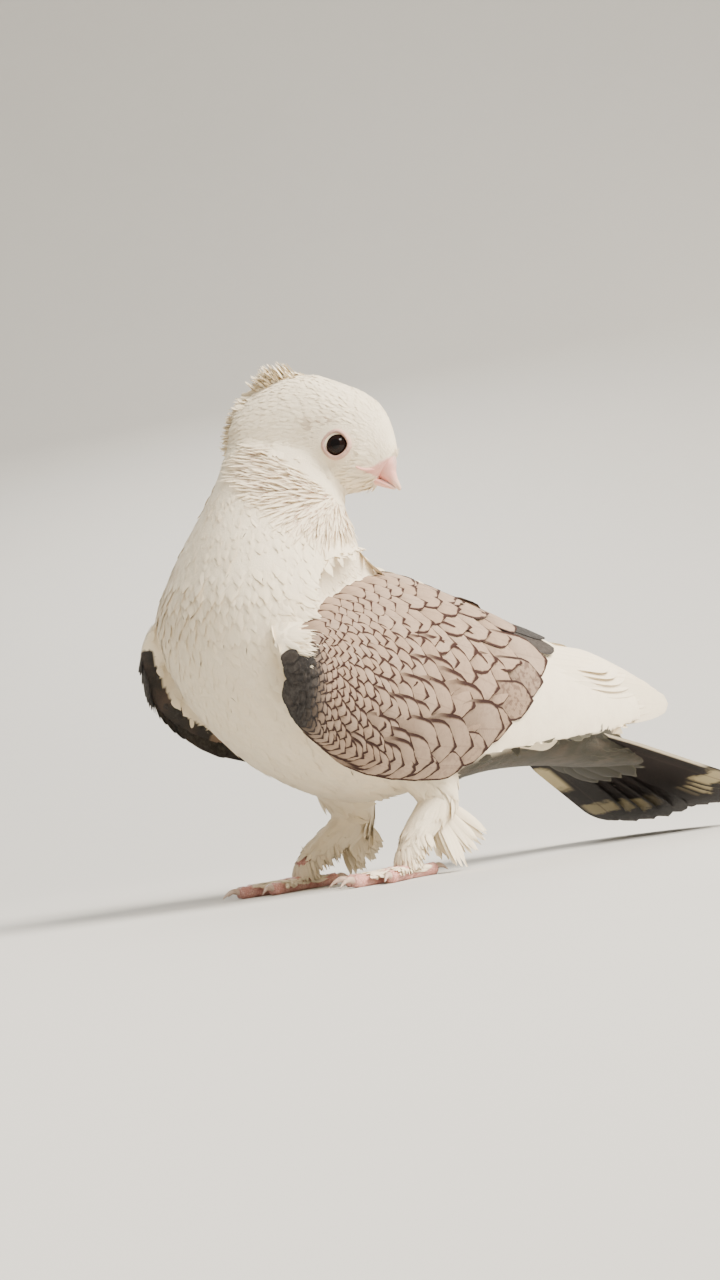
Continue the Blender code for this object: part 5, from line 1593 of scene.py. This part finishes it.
def make_lid(side):
    """The ring of bare skin round one eye, puckered into fine folds."""
    centre = head_point(*EYE_AT, side * EYE_OUT)
    turn = head_direction(0, 0, side).normalized().to_track_quat("Z", "Y")
    shaped = bmesh.new()
    rim = shaped.verts.layers.float_color.new("Rim")
    rings = []
    for angle in circle(96):
        ring = []
        for k, (radius, depth) in enumerate(LID_PROFILE):
            fold = 0.00008 * math.sin(angle * 23 + k) + 0.00006 * math.sin(angle * 37 + 2 * k)
            squeeze = 1 + 0.06 * math.cos(2 * angle + 0.8)
            beside, high = math.cos(angle) * radius * squeeze, math.sin(angle) * radius / squeeze
            place = Vector((beside, high, depth + fold))
            place.rotate(turn)
            made = shaped.verts.new(centre + place)
            made[rim] = (k / (len(LID_PROFILE) - 1), 0, 0, 1)
            ring.append(made)
        rings.append(ring)
    for low, high in zip(rings, (*rings[1:], rings[0])):
        for k in range(len(LID_PROFILE) - 1):
            shaped.faces.new((low[k], low[k + 1], high[k + 1], high[k]))
    made = mesh_object("lid_" + SIDES[side] + "_skin", shaped)
    thicken = made.modifiers.new("Thickness", "SOLIDIFY")
    thicken.thickness = 0.0003
    applied(made)
    return finished(made)


def make_eye(side):
    """One glossy eyeball with its pupil and iris, looking out sideways."""
    shaped = bmesh.new()
    bmesh.ops.create_uvsphere(shaped, u_segments=48, v_segments=32, radius=sizes().eye_radius)
    turn = head_direction(0, 0, side).normalized().to_track_quat("Z", "Y")
    centre = head_point(*EYE_AT, side * EYE_OUT)
    gaze = shaped.verts.layers.float_color.new("Gaze")
    for v in shaped.verts:
        off_axis = math.atan2(math.hypot(v.co.x, v.co.y), v.co.z) / math.pi
        v[gaze] = (off_axis, 0, 0, 1)
        v.co.rotate(turn)
        v.co += centre
    return finished(mesh_object("eye_" + SIDES[side] + "_ball", shaped))


# Materials

class Wiring:
    """Adds the nodes of one tree and joins them."""

    def __init__(self, tree):
        self.tree = tree

    def add(self, kind, *values, out=0, **settings):
        node = self.tree.nodes.new(kind)
        for key, value in settings.items():
            setattr(node, key, value)
        for socket, value in zip(node.inputs, values):
            self.give(socket, value)
        return node.outputs[out]

    def give(self, socket, value):
        """Joins an output to a socket, or sets the socket to a plain value."""
        if value is None:
            return
        if isinstance(value, bpy.types.NodeSocket):
            self.tree.links.new(value, socket)
        elif socket.type == "RGBA" and len(value) == 3:
            socket.default_value = (*value, 1.0)
        else:
            socket.default_value = value

    def math(self, operation, *values, clamp=False):
        return self.add("ShaderNodeMath", *values, operation=operation, use_clamp=clamp)

    def times(self, a, b, clamp=False):
        return self.math("MULTIPLY", a, b, clamp=clamp)

    def plus(self, a, b):
        return self.math("ADD", a, b)

    def mix(self, factor, a, b):
        node = self.tree.nodes.new("ShaderNodeMix")
        node.data_type = "RGBA"
        for socket, value in zip((node.inputs[0], node.inputs[6], node.inputs[7]), (factor, a, b)):
            self.give(socket, value)
        return node.outputs[2]

    def ease(self, value, low, high, start=0.0, end=1.0):
        """A value carried smoothly from one range to another, which may fall."""
        return self.add("ShaderNodeMapRange", value, low, high, start, end, interpolation_type="SMOOTHSTEP")

    def distance(self, place, spot):
        """How far a place is from a spot of the head's own frame."""
        spot = tuple(head_point(*spot) + bird_shift())
        return self.add("ShaderNodeVectorMath", place, spot, operation="DISTANCE", out=1)

    def stored(self, name):
        """The outputs of a colour that the mesh carries."""
        node = self.tree.nodes.new("ShaderNodeAttribute")
        node.attribute_name = name
        return node.outputs

    def channels(self, colour):
        node = self.tree.nodes.new("ShaderNodeSeparateColor")
        self.give(node.inputs[0], colour)
        return node.outputs

    def group(self, name, **values):
        node = self.tree.nodes.new("ShaderNodeGroup")
        node.node_tree = bpy.data.node_groups[name]
        for key, value in values.items():
            self.give(node.inputs[key.replace("_", " ")], value)
        return node.outputs

    def mottle(self, colour, stain, scale, amount):
        return self.group("Mottle", Colour=colour, Stain=stain, Scale=scale, Amount=amount)

    def noise(self, scale, detail=3.0, roughness=0.55):
        node = self.tree.nodes.new("ShaderNodeTexNoise")
        self.give(node.inputs["Vector"], self.add("ShaderNodeTexCoord", out=3))
        self.give(node.inputs["Scale"], scale)
        self.give(node.inputs["Detail"], detail)
        self.give(node.inputs["Roughness"], roughness)
        return node.outputs[0]


def new_group(name, inputs, outputs):
    """An empty node group: its wiring, its inputs by name and its output node."""
    tree = bpy.data.node_groups.new(name, "ShaderNodeTree")
    for label, kind, default in inputs:
        socket = tree.interface.new_socket(name=label, in_out="INPUT", socket_type=kind)
        if default is not None:
            socket.default_value = default
    for label, kind in outputs:
        tree.interface.new_socket(name=label, in_out="OUTPUT", socket_type=kind)
    wiring = Wiring(tree)
    given = tree.nodes.new("NodeGroupInput")
    result = tree.nodes.new("NodeGroupOutput")
    return wiring, {socket.name: socket for socket in given.outputs}, result


NUMBER, COLOUR = "NodeSocketFloat", "NodeSocketColor"


def build_vane_group():
    """Where a point lies on its feather: shaft, barbs, distance from the edge, and the feather's marks."""
    defaults = (("Barbs", 60.0), ("Slant", 0.6), ("Blunt", 0.5), ("Tip Length", 1.2), ("Shaft Width", 0.06))
    inputs = [(label, NUMBER, value) for label, value in defaults]
    labels = ("Along", "Across", "Shaft", "Barb", "Edge", "Chance", "Dark", "Loose", "Kind")
    w, given, result = new_group("Feather Vane", inputs, [(label, NUMBER) for label in labels])
    vane = w.add("ShaderNodeUVMap", uv_map="Vane")
    split = w.tree.nodes.new("ShaderNodeSeparateXYZ")
    w.give(split.inputs[0], vane)
    across = w.math("MULTIPLY_ADD", split.outputs[0], 2.0, -1.0)
    aside = w.math("ABSOLUTE", across)
    along = split.outputs[1]
    slanted = w.times(aside, given["Slant"])
    line = w.math("SUBTRACT", along, w.times(slanted, 0.35))
    line = w.plus(line, w.times(w.noise(900.0, 1.0), 0.02))
    barb = w.math("SINE", w.times(w.times(line, given["Barbs"]), 2 * math.pi))
    barb = w.math("MULTIPLY_ADD", barb, 0.5, 0.5)
    tip_span = w.math("SUBTRACT", 1.03, given["Blunt"])
    beyond = w.math("DIVIDE", w.math("SUBTRACT", along, given["Blunt"]), tip_span, clamp=True)
    outline = w.math("SQRT", w.math("SUBTRACT", 1.0, w.times(beyond, beyond), clamp=True))
    sideways = w.times(w.math("SUBTRACT", 1.0, aside), outline)
    lengthways = w.times(w.math("SUBTRACT", 1.0, along), given["Tip Length"])
    edge = w.math("MINIMUM", sideways, lengthways)
    shaft = w.ease(aside, w.times(given["Shaft Width"], 0.4), given["Shaft Width"], 1.0, 0.0)
    marks = w.stored("Marks")
    parts = w.channels(marks["Color"])
    values = (along, across, shaft, barb, edge, *parts[:3], marks["Alpha"])
    for label, value in zip(labels, values):
        w.give(result.inputs[label], value)


def build_mottle_group():
    """Uneven tone: broad soft patches and fine specks over a colour."""
    inputs = (("Colour", COLOUR, (0.8, 0.8, 0.8, 1)), ("Stain", COLOUR, (0.5, 0.4, 0.3, 1)),
              ("Scale", NUMBER, 40.0), ("Amount", NUMBER, 0.2))
    w, given, result = new_group("Mottle", inputs, (("Colour", COLOUR), ("Height", NUMBER)))
    broad = w.noise(given["Scale"], 4.0)
    fine = w.noise(w.times(given["Scale"], 14.0), 3.0, 0.7)
    both = w.plus(w.times(broad, 0.65), w.times(fine, 0.35))
    share = w.times(w.ease(both, 0.42, 0.66), given["Amount"])
    w.give(result.inputs["Colour"], w.mix(share, given["Colour"], given["Stain"]))
    w.give(result.inputs["Height"], both)


def new_material(name):
    """A material with its shader, and the wiring of its tree."""
    made = bpy.data.materials.new(name)
    made.use_nodes = True
    shader = next(n for n in made.node_tree.nodes if n.type == "BSDF_PRINCIPLED")
    return made, shader, Wiring(made.node_tree)


def rough(w, shader, colour, roughness, height=None, depth=0.0002, strength=0.5):
    """Joins a material's changing values to its shader."""
    w.give(shader.inputs["Base Color"], colour)
    w.give(shader.inputs["Roughness"], roughness)
    if height is not None:
        bump = w.tree.nodes.new("ShaderNodeBump")
        bump.inputs["Strength"].default_value = strength
        bump.inputs["Distance"].default_value = depth
        w.give(bump.inputs["Height"], height)
        w.give(shader.inputs["Normal"], bump.outputs[0])


def soften(shader, sheen=0.15, specular=0.25):
    """A soft sheen and a faint gloss, as feathers have."""
    shader.inputs["Sheen Weight"].default_value = sheen
    shader.inputs["Sheen Roughness"].default_value = 0.5
    shader.inputs["Specular IOR Level"].default_value = specular


def feather_surface(w, shader, vane, colour, barb, shaft, roughness, strength):
    """Joins a feather's colour to its shader, with bumps from its barbs and its shaft."""
    height = w.plus(w.times(vane["Barb"], barb), w.times(vane["Shaft"], shaft))
    rough(w, shader, colour, w.ease(vane["Barb"], 0.0, 1.0, *roughness), height, 0.0002, strength)


def mottled_surface(w, shader, mottle, roughness, depth, strength):
    """Joins a mottled colour to its shader, with bumps and roughness from the same mottle."""
    height = mottle["Height"]
    rough(w, shader, mottle["Colour"], w.ease(height, 0.3, 0.7, *roughness), height, depth, strength)


def white_feather(name):
    """Ivory feathers with fine barbs; painted shade in the down's warm colour at a loose one's root and
    between its barbs; dark under the tail.
    """
    barbs, shadow = WHITES[name]
    tint = colours()
    made, shader, w = new_material(name)
    vane = w.group("Feather Vane", Barbs=barbs, Slant=0.8, Blunt=0.45, Tip_Length=1.3)
    ground = w.mix(w.times(vane["Chance"], 0.5), tint.ivory, toned(tint.ivory, 0.97, 0.94, 0.88))
    mottle = w.mottle(ground, toned(tint.ivory, 0.86, 0.80, 0.70), 45.0, 0.03)
    # Painted shade at the root, where the feathers above would shade the down, as strong as the feather's
    # looseness mark
    root = w.ease(vane["Along"], 0.02, 0.70, 1.0, 0.0)
    gap = w.times(root, w.times(vane["Loose"], 1.1 * shadow), clamp=True)
    colour = w.mix(gap, mottle["Colour"], tint.down_and_gap_shade)
    # Painted shade between the barbs, deeper on looser feathers
    barb_gap_shade = w.times(w.ease(vane["Barb"], 0.45, 0.05), w.math("MULTIPLY_ADD", vane["Loose"], 0.30, 0.02))
    colour = w.mix(barb_gap_shade, colour, tint.down_and_gap_shade)
    colour = w.mix(w.times(vane["Kind"], 0.75), colour, (0.24, 0.15, 0.10))
    vent = w.mix(w.ease(vane["Edge"], 0.05, 0.16), toned(tint.vent, 2.0), tint.vent)
    colour = w.mix(vane["Dark"], colour, vent)
    feather_surface(w, shader, vane, colour, 0.6, 0.4, (0.84, 0.72), 0.25)
    soften(shader)
    return made


def laced_feather():
    """The shield's feathers: a beige ground with a dark edge, a dusky shaft and a darker base, partly its own
    grey and partly painted shade from the row over it.
    """
    tint = colours()
    made, shader, w = new_material("laced_feather")
    vane = w.group("Feather Vane", Barbs=30.0, Slant=0.9, Blunt=0.68, Tip_Length=2.4, Shaft_Width=0.05)
    pale = w.mix(vane["Chance"], tint.beige, toned(tint.beige, 1.08, 1.14, 1.22))
    mottle = w.mottle(pale, toned(tint.beige, 0.78), 70.0, 0.30)
    # Darker towards the root: partly the feather's grey base, partly painted shade where the row above
    # overlaps
    base = w.ease(vane["Along"], 0.40, 0.80, 0.5, 0.0)
    colour = w.mix(base, mottle["Colour"], toned(tint.beige, 0.50))
    streak = w.times(vane["Kind"], w.ease(w.noise(520.0, 2.0), 0.48, 0.62))
    colour = w.mix(w.times(streak, 0.6), colour, toned(tint.lacing, 2.2))
    colour = w.mix(w.times(vane["Shaft"], 0.14), colour, toned(tint.lacing, 1.6))
    width = w.plus(vane["Loose"], w.math("MULTIPLY_ADD", w.noise(650.0, 2.0), 0.07, -0.035))
    lace = w.ease(vane["Edge"], w.times(width, 1.15), w.times(width, 0.60), 0.0, 1.0)
    lace = w.times(lace, w.ease(vane["Along"], 0.25, 0.60))
    colour = w.mix(lace, colour, tint.lacing)
    grain = w.ease(w.noise(700.0, 3.0, 0.7), 0.35, 0.70)
    colour = w.mix(vane["Dark"], colour, w.mix(grain, tint.bend, toned(tint.bend, 1.9)))
    feather_surface(w, shader, vane, colour, 0.5, 0.6, (0.80, 0.66), 0.3)
    soften(shader, 0.02, 0.12)
    return made


def flight_feather():
    """The long white feathers of the wing: smooth vanes with a pale shaft and faint grey streaks."""
    tint = colours()
    made, shader, w = new_material("flight_feather")
    vane = w.group("Feather Vane", Barbs=190.0, Slant=0.55, Blunt=0.86, Tip_Length=6.0, Shaft_Width=0.07)
    mottle = w.mottle(tint.ivory, toned(tint.ivory, 0.88, 0.84, 0.77), 45.0, 0.3)
    # Painted shade along one side of each vane, where the next feather overlaps it
    colour = w.mix(w.ease(vane["Across"], 0.1, 1.0, 0.0, 0.10), mottle["Colour"], (0.50, 0.46, 0.40))
    streak = w.times(w.ease(w.noise(300.0, 2.0), 0.55, 0.68), 0.07)
    colour = w.mix(streak, colour, (0.45, 0.38, 0.30))
    colour = w.mix(w.times(vane["Shaft"], 0.15), colour, (0.72, 0.60, 0.46))
    colour = w.mix(w.ease(vane["Edge"], 0.08, 0.0, 0.0, 0.14), colour, (0.50, 0.42, 0.33))
    feather_surface(w, shader, vane, colour, 0.35, 0.5, (0.68, 0.56), 0.15)
    soften(shader, 0.08)
    return made


def tail_feather():
    """Near-black tail feathers; the outer ones have a pale spot before a dark tip and pale patches."""
    tint = colours()
    made, shader, w = new_material("tail_feather")
    vane = w.group("Feather Vane", Barbs=200.0, Slant=0.55, Blunt=0.86, Tip_Length=7.0, Shaft_Width=0.07)
    mottle = w.mottle(tint.tail, toned(tint.tail, 2.0), 60.0, 0.5)
    reach = w.plus(vane["Along"], w.math("MULTIPLY_ADD", w.noise(260.0, 3.0), 0.10, -0.05))
    spot = w.times(w.ease(reach, 0.77, 0.82), w.ease(reach, 0.915, 0.880))
    spot = w.times(spot, w.ease(w.math("ABSOLUTE", vane["Across"]), 0.95, 0.65))
    colour = w.mix(w.times(spot, vane["Dark"]), mottle["Colour"], tint.spot)
    patch = w.times(w.ease(reach, 0.34, 0.40), w.ease(reach, 0.64, 0.56))
    patch = w.times(patch, w.ease(vane["Across"], -0.15, -0.50))
    colour = w.mix(w.times(patch, vane["Loose"]), colour, toned(tint.spot, 1.5))
    line = w.times(w.ease(vane["Across"], 0.60, 0.80), w.ease(reach, 0.80, 0.70))
    colour = w.mix(w.times(line, vane["Kind"]), colour, tint.ivory)
    colour = w.mix(w.times(vane["Shaft"], 0.4), colour, (0.05, 0.035, 0.03))
    feather_surface(w, shader, vane, colour, 0.35, 0.8, (0.62, 0.48), 0.25)
    soften(shader, 0.0, 0.14)
    return made


def skin_material():
    """Down in the colours painted on the skin."""
    made, shader, w = new_material("down_and_skin")
    mottle = w.mottle(w.stored("Skin")["Color"], colours().down_and_gap_shade, 160.0, 0.10)
    mottled_surface(w, shader, mottle, (0.92, 0.8), 0.0006, 0.8)
    soften(shader)
    return made


def bill_material(upper):
    """Pink horn, paler at the tip and redder at the gape; the upper half has a scurfy cere."""
    tint = colours()
    made, shader, w = new_material("bill_horn_upper" if upper else "bill_horn_lower")
    place = w.add("ShaderNodeTexCoord", out=3)
    pale = w.ease(w.distance(place, TIP_SPOT), 0.0025, 0.0080, 1.0, 0.0)
    ground = w.mix(pale, tint.bill, tint.bill_tip)
    red = w.ease(w.distance(place, GAPE_SPOT), 0.0055, 0.0010, 0.0, 0.6)
    ground = w.mix(red, ground, (0.62, 0.20, 0.16))
    mottle = w.mottle(ground, toned(tint.bill, 0.75, 0.7, 0.7), 330.0, 0.35)
    colour, height = mottle["Colour"], mottle["Height"]
    if upper:
        share = w.ease(w.distance(place, CERE_SPOT), 0.0048, 0.0026, 0.0, 1.0)
        specks = w.ease(w.noise(1500.0, 3.0, 0.7), 0.56, 0.64, 0.0, 1.0)
        scurf = w.mix(specks, (0.66, 0.47, 0.41), (0.26, 0.15, 0.11))
        colour = w.mix(w.times(share, 0.8), colour, scurf)
        height = w.plus(height, w.times(share, w.noise(900.0, 3.0, 0.7)))
    rough(w, shader, colour, w.ease(mottle["Height"], 0.3, 0.7, 0.30, 0.46), height, 0.0003, 0.5)
    shader.inputs["Subsurface Weight"].default_value = 0.12
    shader.inputs["Subsurface Radius"].default_value = (0.0012, 0.0004, 0.0003)
    return made


def lid_material():
    """Bare pink skin, darker at the eye's rim."""
    tint = colours()
    made, shader, w = new_material("lid_skin")
    rim = w.channels(w.stored("Rim")["Color"])[0]
    ground = w.mix(w.ease(rim, 0.10, 0.42), toned(tint.lid, 0.55, 0.42, 0.40), tint.lid)
    mottle = w.mottle(ground, (0.46, 0.25, 0.20), 420.0, 0.45)
    mottled_surface(w, shader, mottle, (0.60, 0.48), 0.0003, 0.6)
    return made


def eye_material():
    """A near-black iris round a black pupil, under a wet clear coat."""
    made, shader, w = new_material("eye")
    off = w.channels(w.stored("Gaze")["Color"])[0]
    fibres = w.noise(1300.0, 4.0, 0.7)
    iris = w.mix(w.ease(fibres, 0.35, 0.7), colours().eye, (0.014, 0.006, 0.004))
    colour = w.mix(w.ease(off, 0.115, 0.100, 0.0, 1.0), iris, (0.003, 0.002, 0.002))
    colour = w.mix(w.ease(off, 0.225, 0.255, 0.0, 1.0), colour, (0.012, 0.006, 0.004))
    rough(w, shader, colour, w.ease(fibres, 0.3, 0.7, 0.10, 0.06), fibres, 0.00005, 0.1)
    shader.inputs["Specular IOR Level"].default_value = 0.06
    shader.inputs["Coat Weight"].default_value = 0.28
    shader.inputs["Coat Roughness"].default_value = 0.02
    return made


def toe_material():
    """Pink scaled skin with darker seams."""
    made, shader, w = new_material("scaled_toe")
    scales = w.tree.nodes.new("ShaderNodeTexVoronoi")
    scales.feature = "DISTANCE_TO_EDGE"
    w.give(scales.inputs["Vector"], w.add("ShaderNodeTexCoord", out=3))
    scales.inputs["Scale"].default_value = 1100.0
    seam = w.ease(scales.outputs["Distance"], 0.0, 0.16, 1.0, 0.0)
    mottle = w.mottle(colours().leg, (0.78, 0.55, 0.46), 300.0, 0.6)
    colour = w.mix(w.times(seam, 0.5), mottle["Colour"], (0.40, 0.15, 0.12))
    height = w.math("SUBTRACT", mottle["Height"], w.times(seam, 0.8))
    rough(w, shader, colour, w.ease(seam, 0.0, 1.0, 0.48, 0.75), height, 0.0003, 0.6)
    return made


def claw_material():
    made, shader, w = new_material("claw_horn")
    mottle = w.mottle(colours().claw, (0.30, 0.19, 0.13), 500.0, 0.6)
    mottled_surface(w, shader, mottle, (0.28, 0.42), 0.0002, 0.3)
    return made


def floor_material():
    tint = colours()
    made, shader, w = new_material("studio_floor")
    mottle = w.mottle(tint.floor, toned(tint.floor, 0.96), 3.0, 0.5)
    rough(w, shader, mottle["Colour"], w.ease(mottle["Height"], 0.3, 0.7, 0.9, 0.8))
    return made


def shared(make, *given):
    """A material made once and used again by like pieces."""
    key = (make.__name__, *given)
    if key not in STORE:
        STORE[key] = make(*given)
    return STORE[key]


def dress_white(made, name="white_feather", slot="white_plumage"):
    """Dresses a piece that stands for no solid in one of the white feathers' materials."""
    dress(made, shared(white_feather, name), slot)


# Operators: one for each piece or group of like pieces

class PieceOperator:
    bl_options = {"REGISTER", "UNDO"}

    def execute(self, context):
        self.build()
        return {"FINISHED"}


class PIGEON_OT_groups(PieceOperator, bpy.types.Operator):
    """Build the shader node groups that the materials share."""
    bl_idname = "pigeon.groups"
    bl_label = "Shared effects"

    def build(self):
        build_vane_group()
        build_mottle_group()


class PIGEON_OT_skin(PieceOperator, bpy.types.Operator):
    """Build the one skin under the coat."""
    bl_idname = "pigeon.skin"
    bl_label = "Skin"

    def build(self):
        dress(make_skin(), skin_material(), "white_plumage", "torso", "neck", "head", "wing_left",
              "wing_right", "thigh_left", "thigh_right", "shank_left", "shank_right")


class PIGEON_OT_body_coat(PieceOperator, bpy.types.Operator):
    """Lay the feathers of the breast, flanks, belly and back."""
    bl_idname = "pigeon.body_coat"
    bl_label = "Body feathers"

    def build(self):
        dress_white(make_body_coat())


class PIGEON_OT_neck_coat(PieceOperator, bpy.types.Operator):
    """Lay the feathers of the neck and the raised ones below the cheeks."""
    bl_idname = "pigeon.neck_coat"
    bl_label = "Neck and frill"

    def build(self):
        dress_white(make_neck_coat())
        dress_white(make_ruffle(), "loose_feather")


class PIGEON_OT_head_coat(PieceOperator, bpy.types.Operator):
    """Lay the fine feathers of the head and raise the crest."""
    bl_idname = "pigeon.head_coat"
    bl_label = "Head and crest"

    def build(self):
        dress_white(make_head_coat(), "fine_feather")
        dress_white(make_crest(), "crest_feather")


class PIGEON_OT_shields(PieceOperator, bpy.types.Operator):
    """Lay the laced shields of both wings and the white fringe over their fronts."""
    bl_idname = "pigeon.shields"
    bl_label = "Laced shields"

    def build(self):
        for side in SIDES:
            dress(make_shield(side), shared(laced_feather), "laced_plumage")
        dress(make_lining(), shared(laced_feather), "laced_plumage")
        dress_white(make_cape_fringe(), "loose_feather")


class PIGEON_OT_flights(PieceOperator, bpy.types.Operator):
    """Stack the long white feathers of both wings."""
    bl_idname = "pigeon.flights"
    bl_label = "Flight feathers"

    def build(self):
        for side, label in SIDES.items():
            dress(make_flights(side), shared(flight_feather), "white_plumage", "primaries_" + label)


class PIGEON_OT_tail(PieceOperator, bpy.types.Operator):
    """Fan the tail feathers and lay the coverts over their roots."""
    bl_idname = "pigeon.tail"
    bl_label = "Tail"

    def build(self):
        dress(make_tail(), tail_feather(), "dark_plumage", "tail")
        dress_white(make_tail_coverts(), slot="dark_plumage")


class PIGEON_OT_legs(PieceOperator, bpy.types.Operator):
    """Lay the feathers of the legs, with the muffs behind the hocks."""
    bl_idname = "pigeon.legs"
    bl_label = "Leg feathers"

    def build(self):
        dress_white(make_leg_coat())
        dress_white(make_muffs())


class PIGEON_OT_feet(PieceOperator, bpy.types.Operator):
    """Shape the scaled toes and the claws."""
    bl_idname = "pigeon.feet"
    bl_label = "Feet and claws"

    def build(self):
        for side, label in SIDES.items():
            dress(make_foot(side), shared(toe_material), "leg_skin", "foot_" + label)
            nails = ["claw_" + label + "_" + toe for toe, _, _ in TOES]
            dress(make_claws(side), shared(claw_material), "claw_horn", *nails)


class PIGEON_OT_face(PieceOperator, bpy.types.Operator):
    """Shape the bill, the lids and the eyes."""
    bl_idname = "pigeon.face"
    bl_label = "Bill, lids and eyes"

    def build(self):
        dress(make_bill(True), bill_material(True), "bill_horn", "bill_upper")
        dress(make_bill(False), bill_material(False), "bill_horn", "bill_lower")
        for side, label in SIDES.items():
            dress(make_lid(side), shared(lid_material), "lid_skin", "lid_" + label)
            dress(make_eye(side), shared(eye_material), "eye", "eye_" + label)


class PIGEON_OT_stage(PieceOperator, bpy.types.Operator):
    """Set the floor, the lights and the camera."""
    bl_idname = "pigeon.stage"
    bl_label = "Studio"

    def build(self):
        build_floor()
        build_lights()
        build_camera()


# Studio

def build_floor():
    """A pale floor that curves gently up behind the bird."""
    shaped = bmesh.new()
    profile = [(FLOOR_NEAR, 0.0), (FLOOR_LEVEL, 0.0)]
    for i in range(1, FLOOR_STEPS + 1):
        angle = math.radians(FLOOR_TURN * i / FLOOR_STEPS)
        away = FLOOR_LEVEL + FLOOR_RADIUS * math.sin(angle)
        profile.append((away, FLOOR_RADIUS - FLOOR_RADIUS * math.cos(angle)))
    profile.append(FLOOR_TOP)
    look = Vector((CAMERA_AHEAD.x, CAMERA_AHEAD.y, 0.0)).normalized()
    across = Vector((-look.y, look.x, 0)) * FLOOR_HALF_WIDTH
    rows = []
    for distance, height in profile:
        middle = look * distance + Vector((0, 0, height))
        rows.append([shaped.verts.new(middle - across), shaped.verts.new(middle + across)])
    for low, high in zip(rows, rows[1:]):
        shaped.faces.new((low[0], low[1], high[1], high[0]))
    made = mesh_object("studio_floor", shaped)
    made.data.shade_smooth()
    made.data.materials.append(floor_material())


def build_lights():
    for name, (place, target, size, power, colour, glossy) in LAMPS.items():
        light = bpy.data.lights.new(name, "AREA")
        light.shape = "DISK"
        light.size = size
        light.energy = power
        light.color = colour
        made = bpy.data.objects.new(name, light)
        bpy.context.scene.collection.objects.link(made)
        made.location = place
        made.rotation_euler = (Vector(target) - Vector(place)).to_track_quat("-Z", "Y").to_euler()
        made.visible_glossy = glossy
    world = bpy.data.worlds.new("Studio")
    bpy.context.scene.world = world
    world.use_nodes = True
    back = next(n for n in world.node_tree.nodes if n.type == "BACKGROUND")
    back.inputs[0].default_value = SKY
    back.inputs[1].default_value = SKY_STRENGTH


def build_camera():
    camera = bpy.data.cameras.new("camera")
    made = bpy.data.objects.new("camera", camera)
    bpy.context.scene.collection.objects.link(made)
    camera.sensor_fit = "VERTICAL"
    camera.sensor_height = SENSOR_HEIGHT
    camera.sensor_width = SENSOR_WIDTH
    camera.lens = CAMERA_LENS
    camera.clip_start = CAMERA_CLIP
    ahead = CAMERA_AHEAD.normalized()
    right = ahead.cross(Vector((0, 0, 1))).normalized()
    up = right.cross(ahead)
    across = right * math.cos(CAMERA_ROLL) + up * math.sin(CAMERA_ROLL)
    upward = up * math.cos(CAMERA_ROLL) - right * math.sin(CAMERA_ROLL)
    placed = Matrix((across, upward, -ahead)).transposed().to_4x4()
    placed.translation = CAMERA_PLACE + bird_shift()
    made.matrix_world = placed
    bpy.context.scene.camera = made


class PIGEON_PT_panel(bpy.types.Panel):
    """Lists the steps of the bird in the order they are made."""
    bl_idname = "PIGEON_PT_panel"
    bl_label = "Laced Pigeon"
    bl_space_type = "VIEW_3D"
    bl_region_type = "UI"
    bl_category = "Pigeon"

    def draw(self, context):
        column = self.layout.column()
        for operator in OPERATORS:
            column.operator(operator.bl_idname)
        for settings in (context.scene.plumage_sizes, context.scene.plumage_colours):
            for name in settings.bl_rna.properties.keys():
                if name not in ("rna_type", "name"):
                    column.prop(settings, name)


OPERATORS = (
    PIGEON_OT_groups, PIGEON_OT_skin, PIGEON_OT_body_coat, PIGEON_OT_neck_coat, PIGEON_OT_head_coat,
    PIGEON_OT_shields, PIGEON_OT_flights, PIGEON_OT_tail, PIGEON_OT_legs, PIGEON_OT_feet, PIGEON_OT_face,
    PIGEON_OT_stage,
)
CLASSES = (PlumageSizes, PlumageColours, *OPERATORS, PIGEON_PT_panel)


def register():
    for made in CLASSES:
        bpy.utils.register_class(made)
    bpy.types.Scene.plumage_sizes = bpy.props.PointerProperty(type=PlumageSizes)
    bpy.types.Scene.plumage_colours = bpy.props.PointerProperty(type=PlumageColours)


def unregister():
    del bpy.types.Scene.plumage_colours
    del bpy.types.Scene.plumage_sizes
    for made in reversed(CLASSES):
        bpy.utils.unregister_class(made)


def main():
    register()
    for operator in OPERATORS:
        group, name = operator.bl_idname.split(".")
        getattr(getattr(bpy.ops, group), name)()


if __name__ == "__main__":
    main()
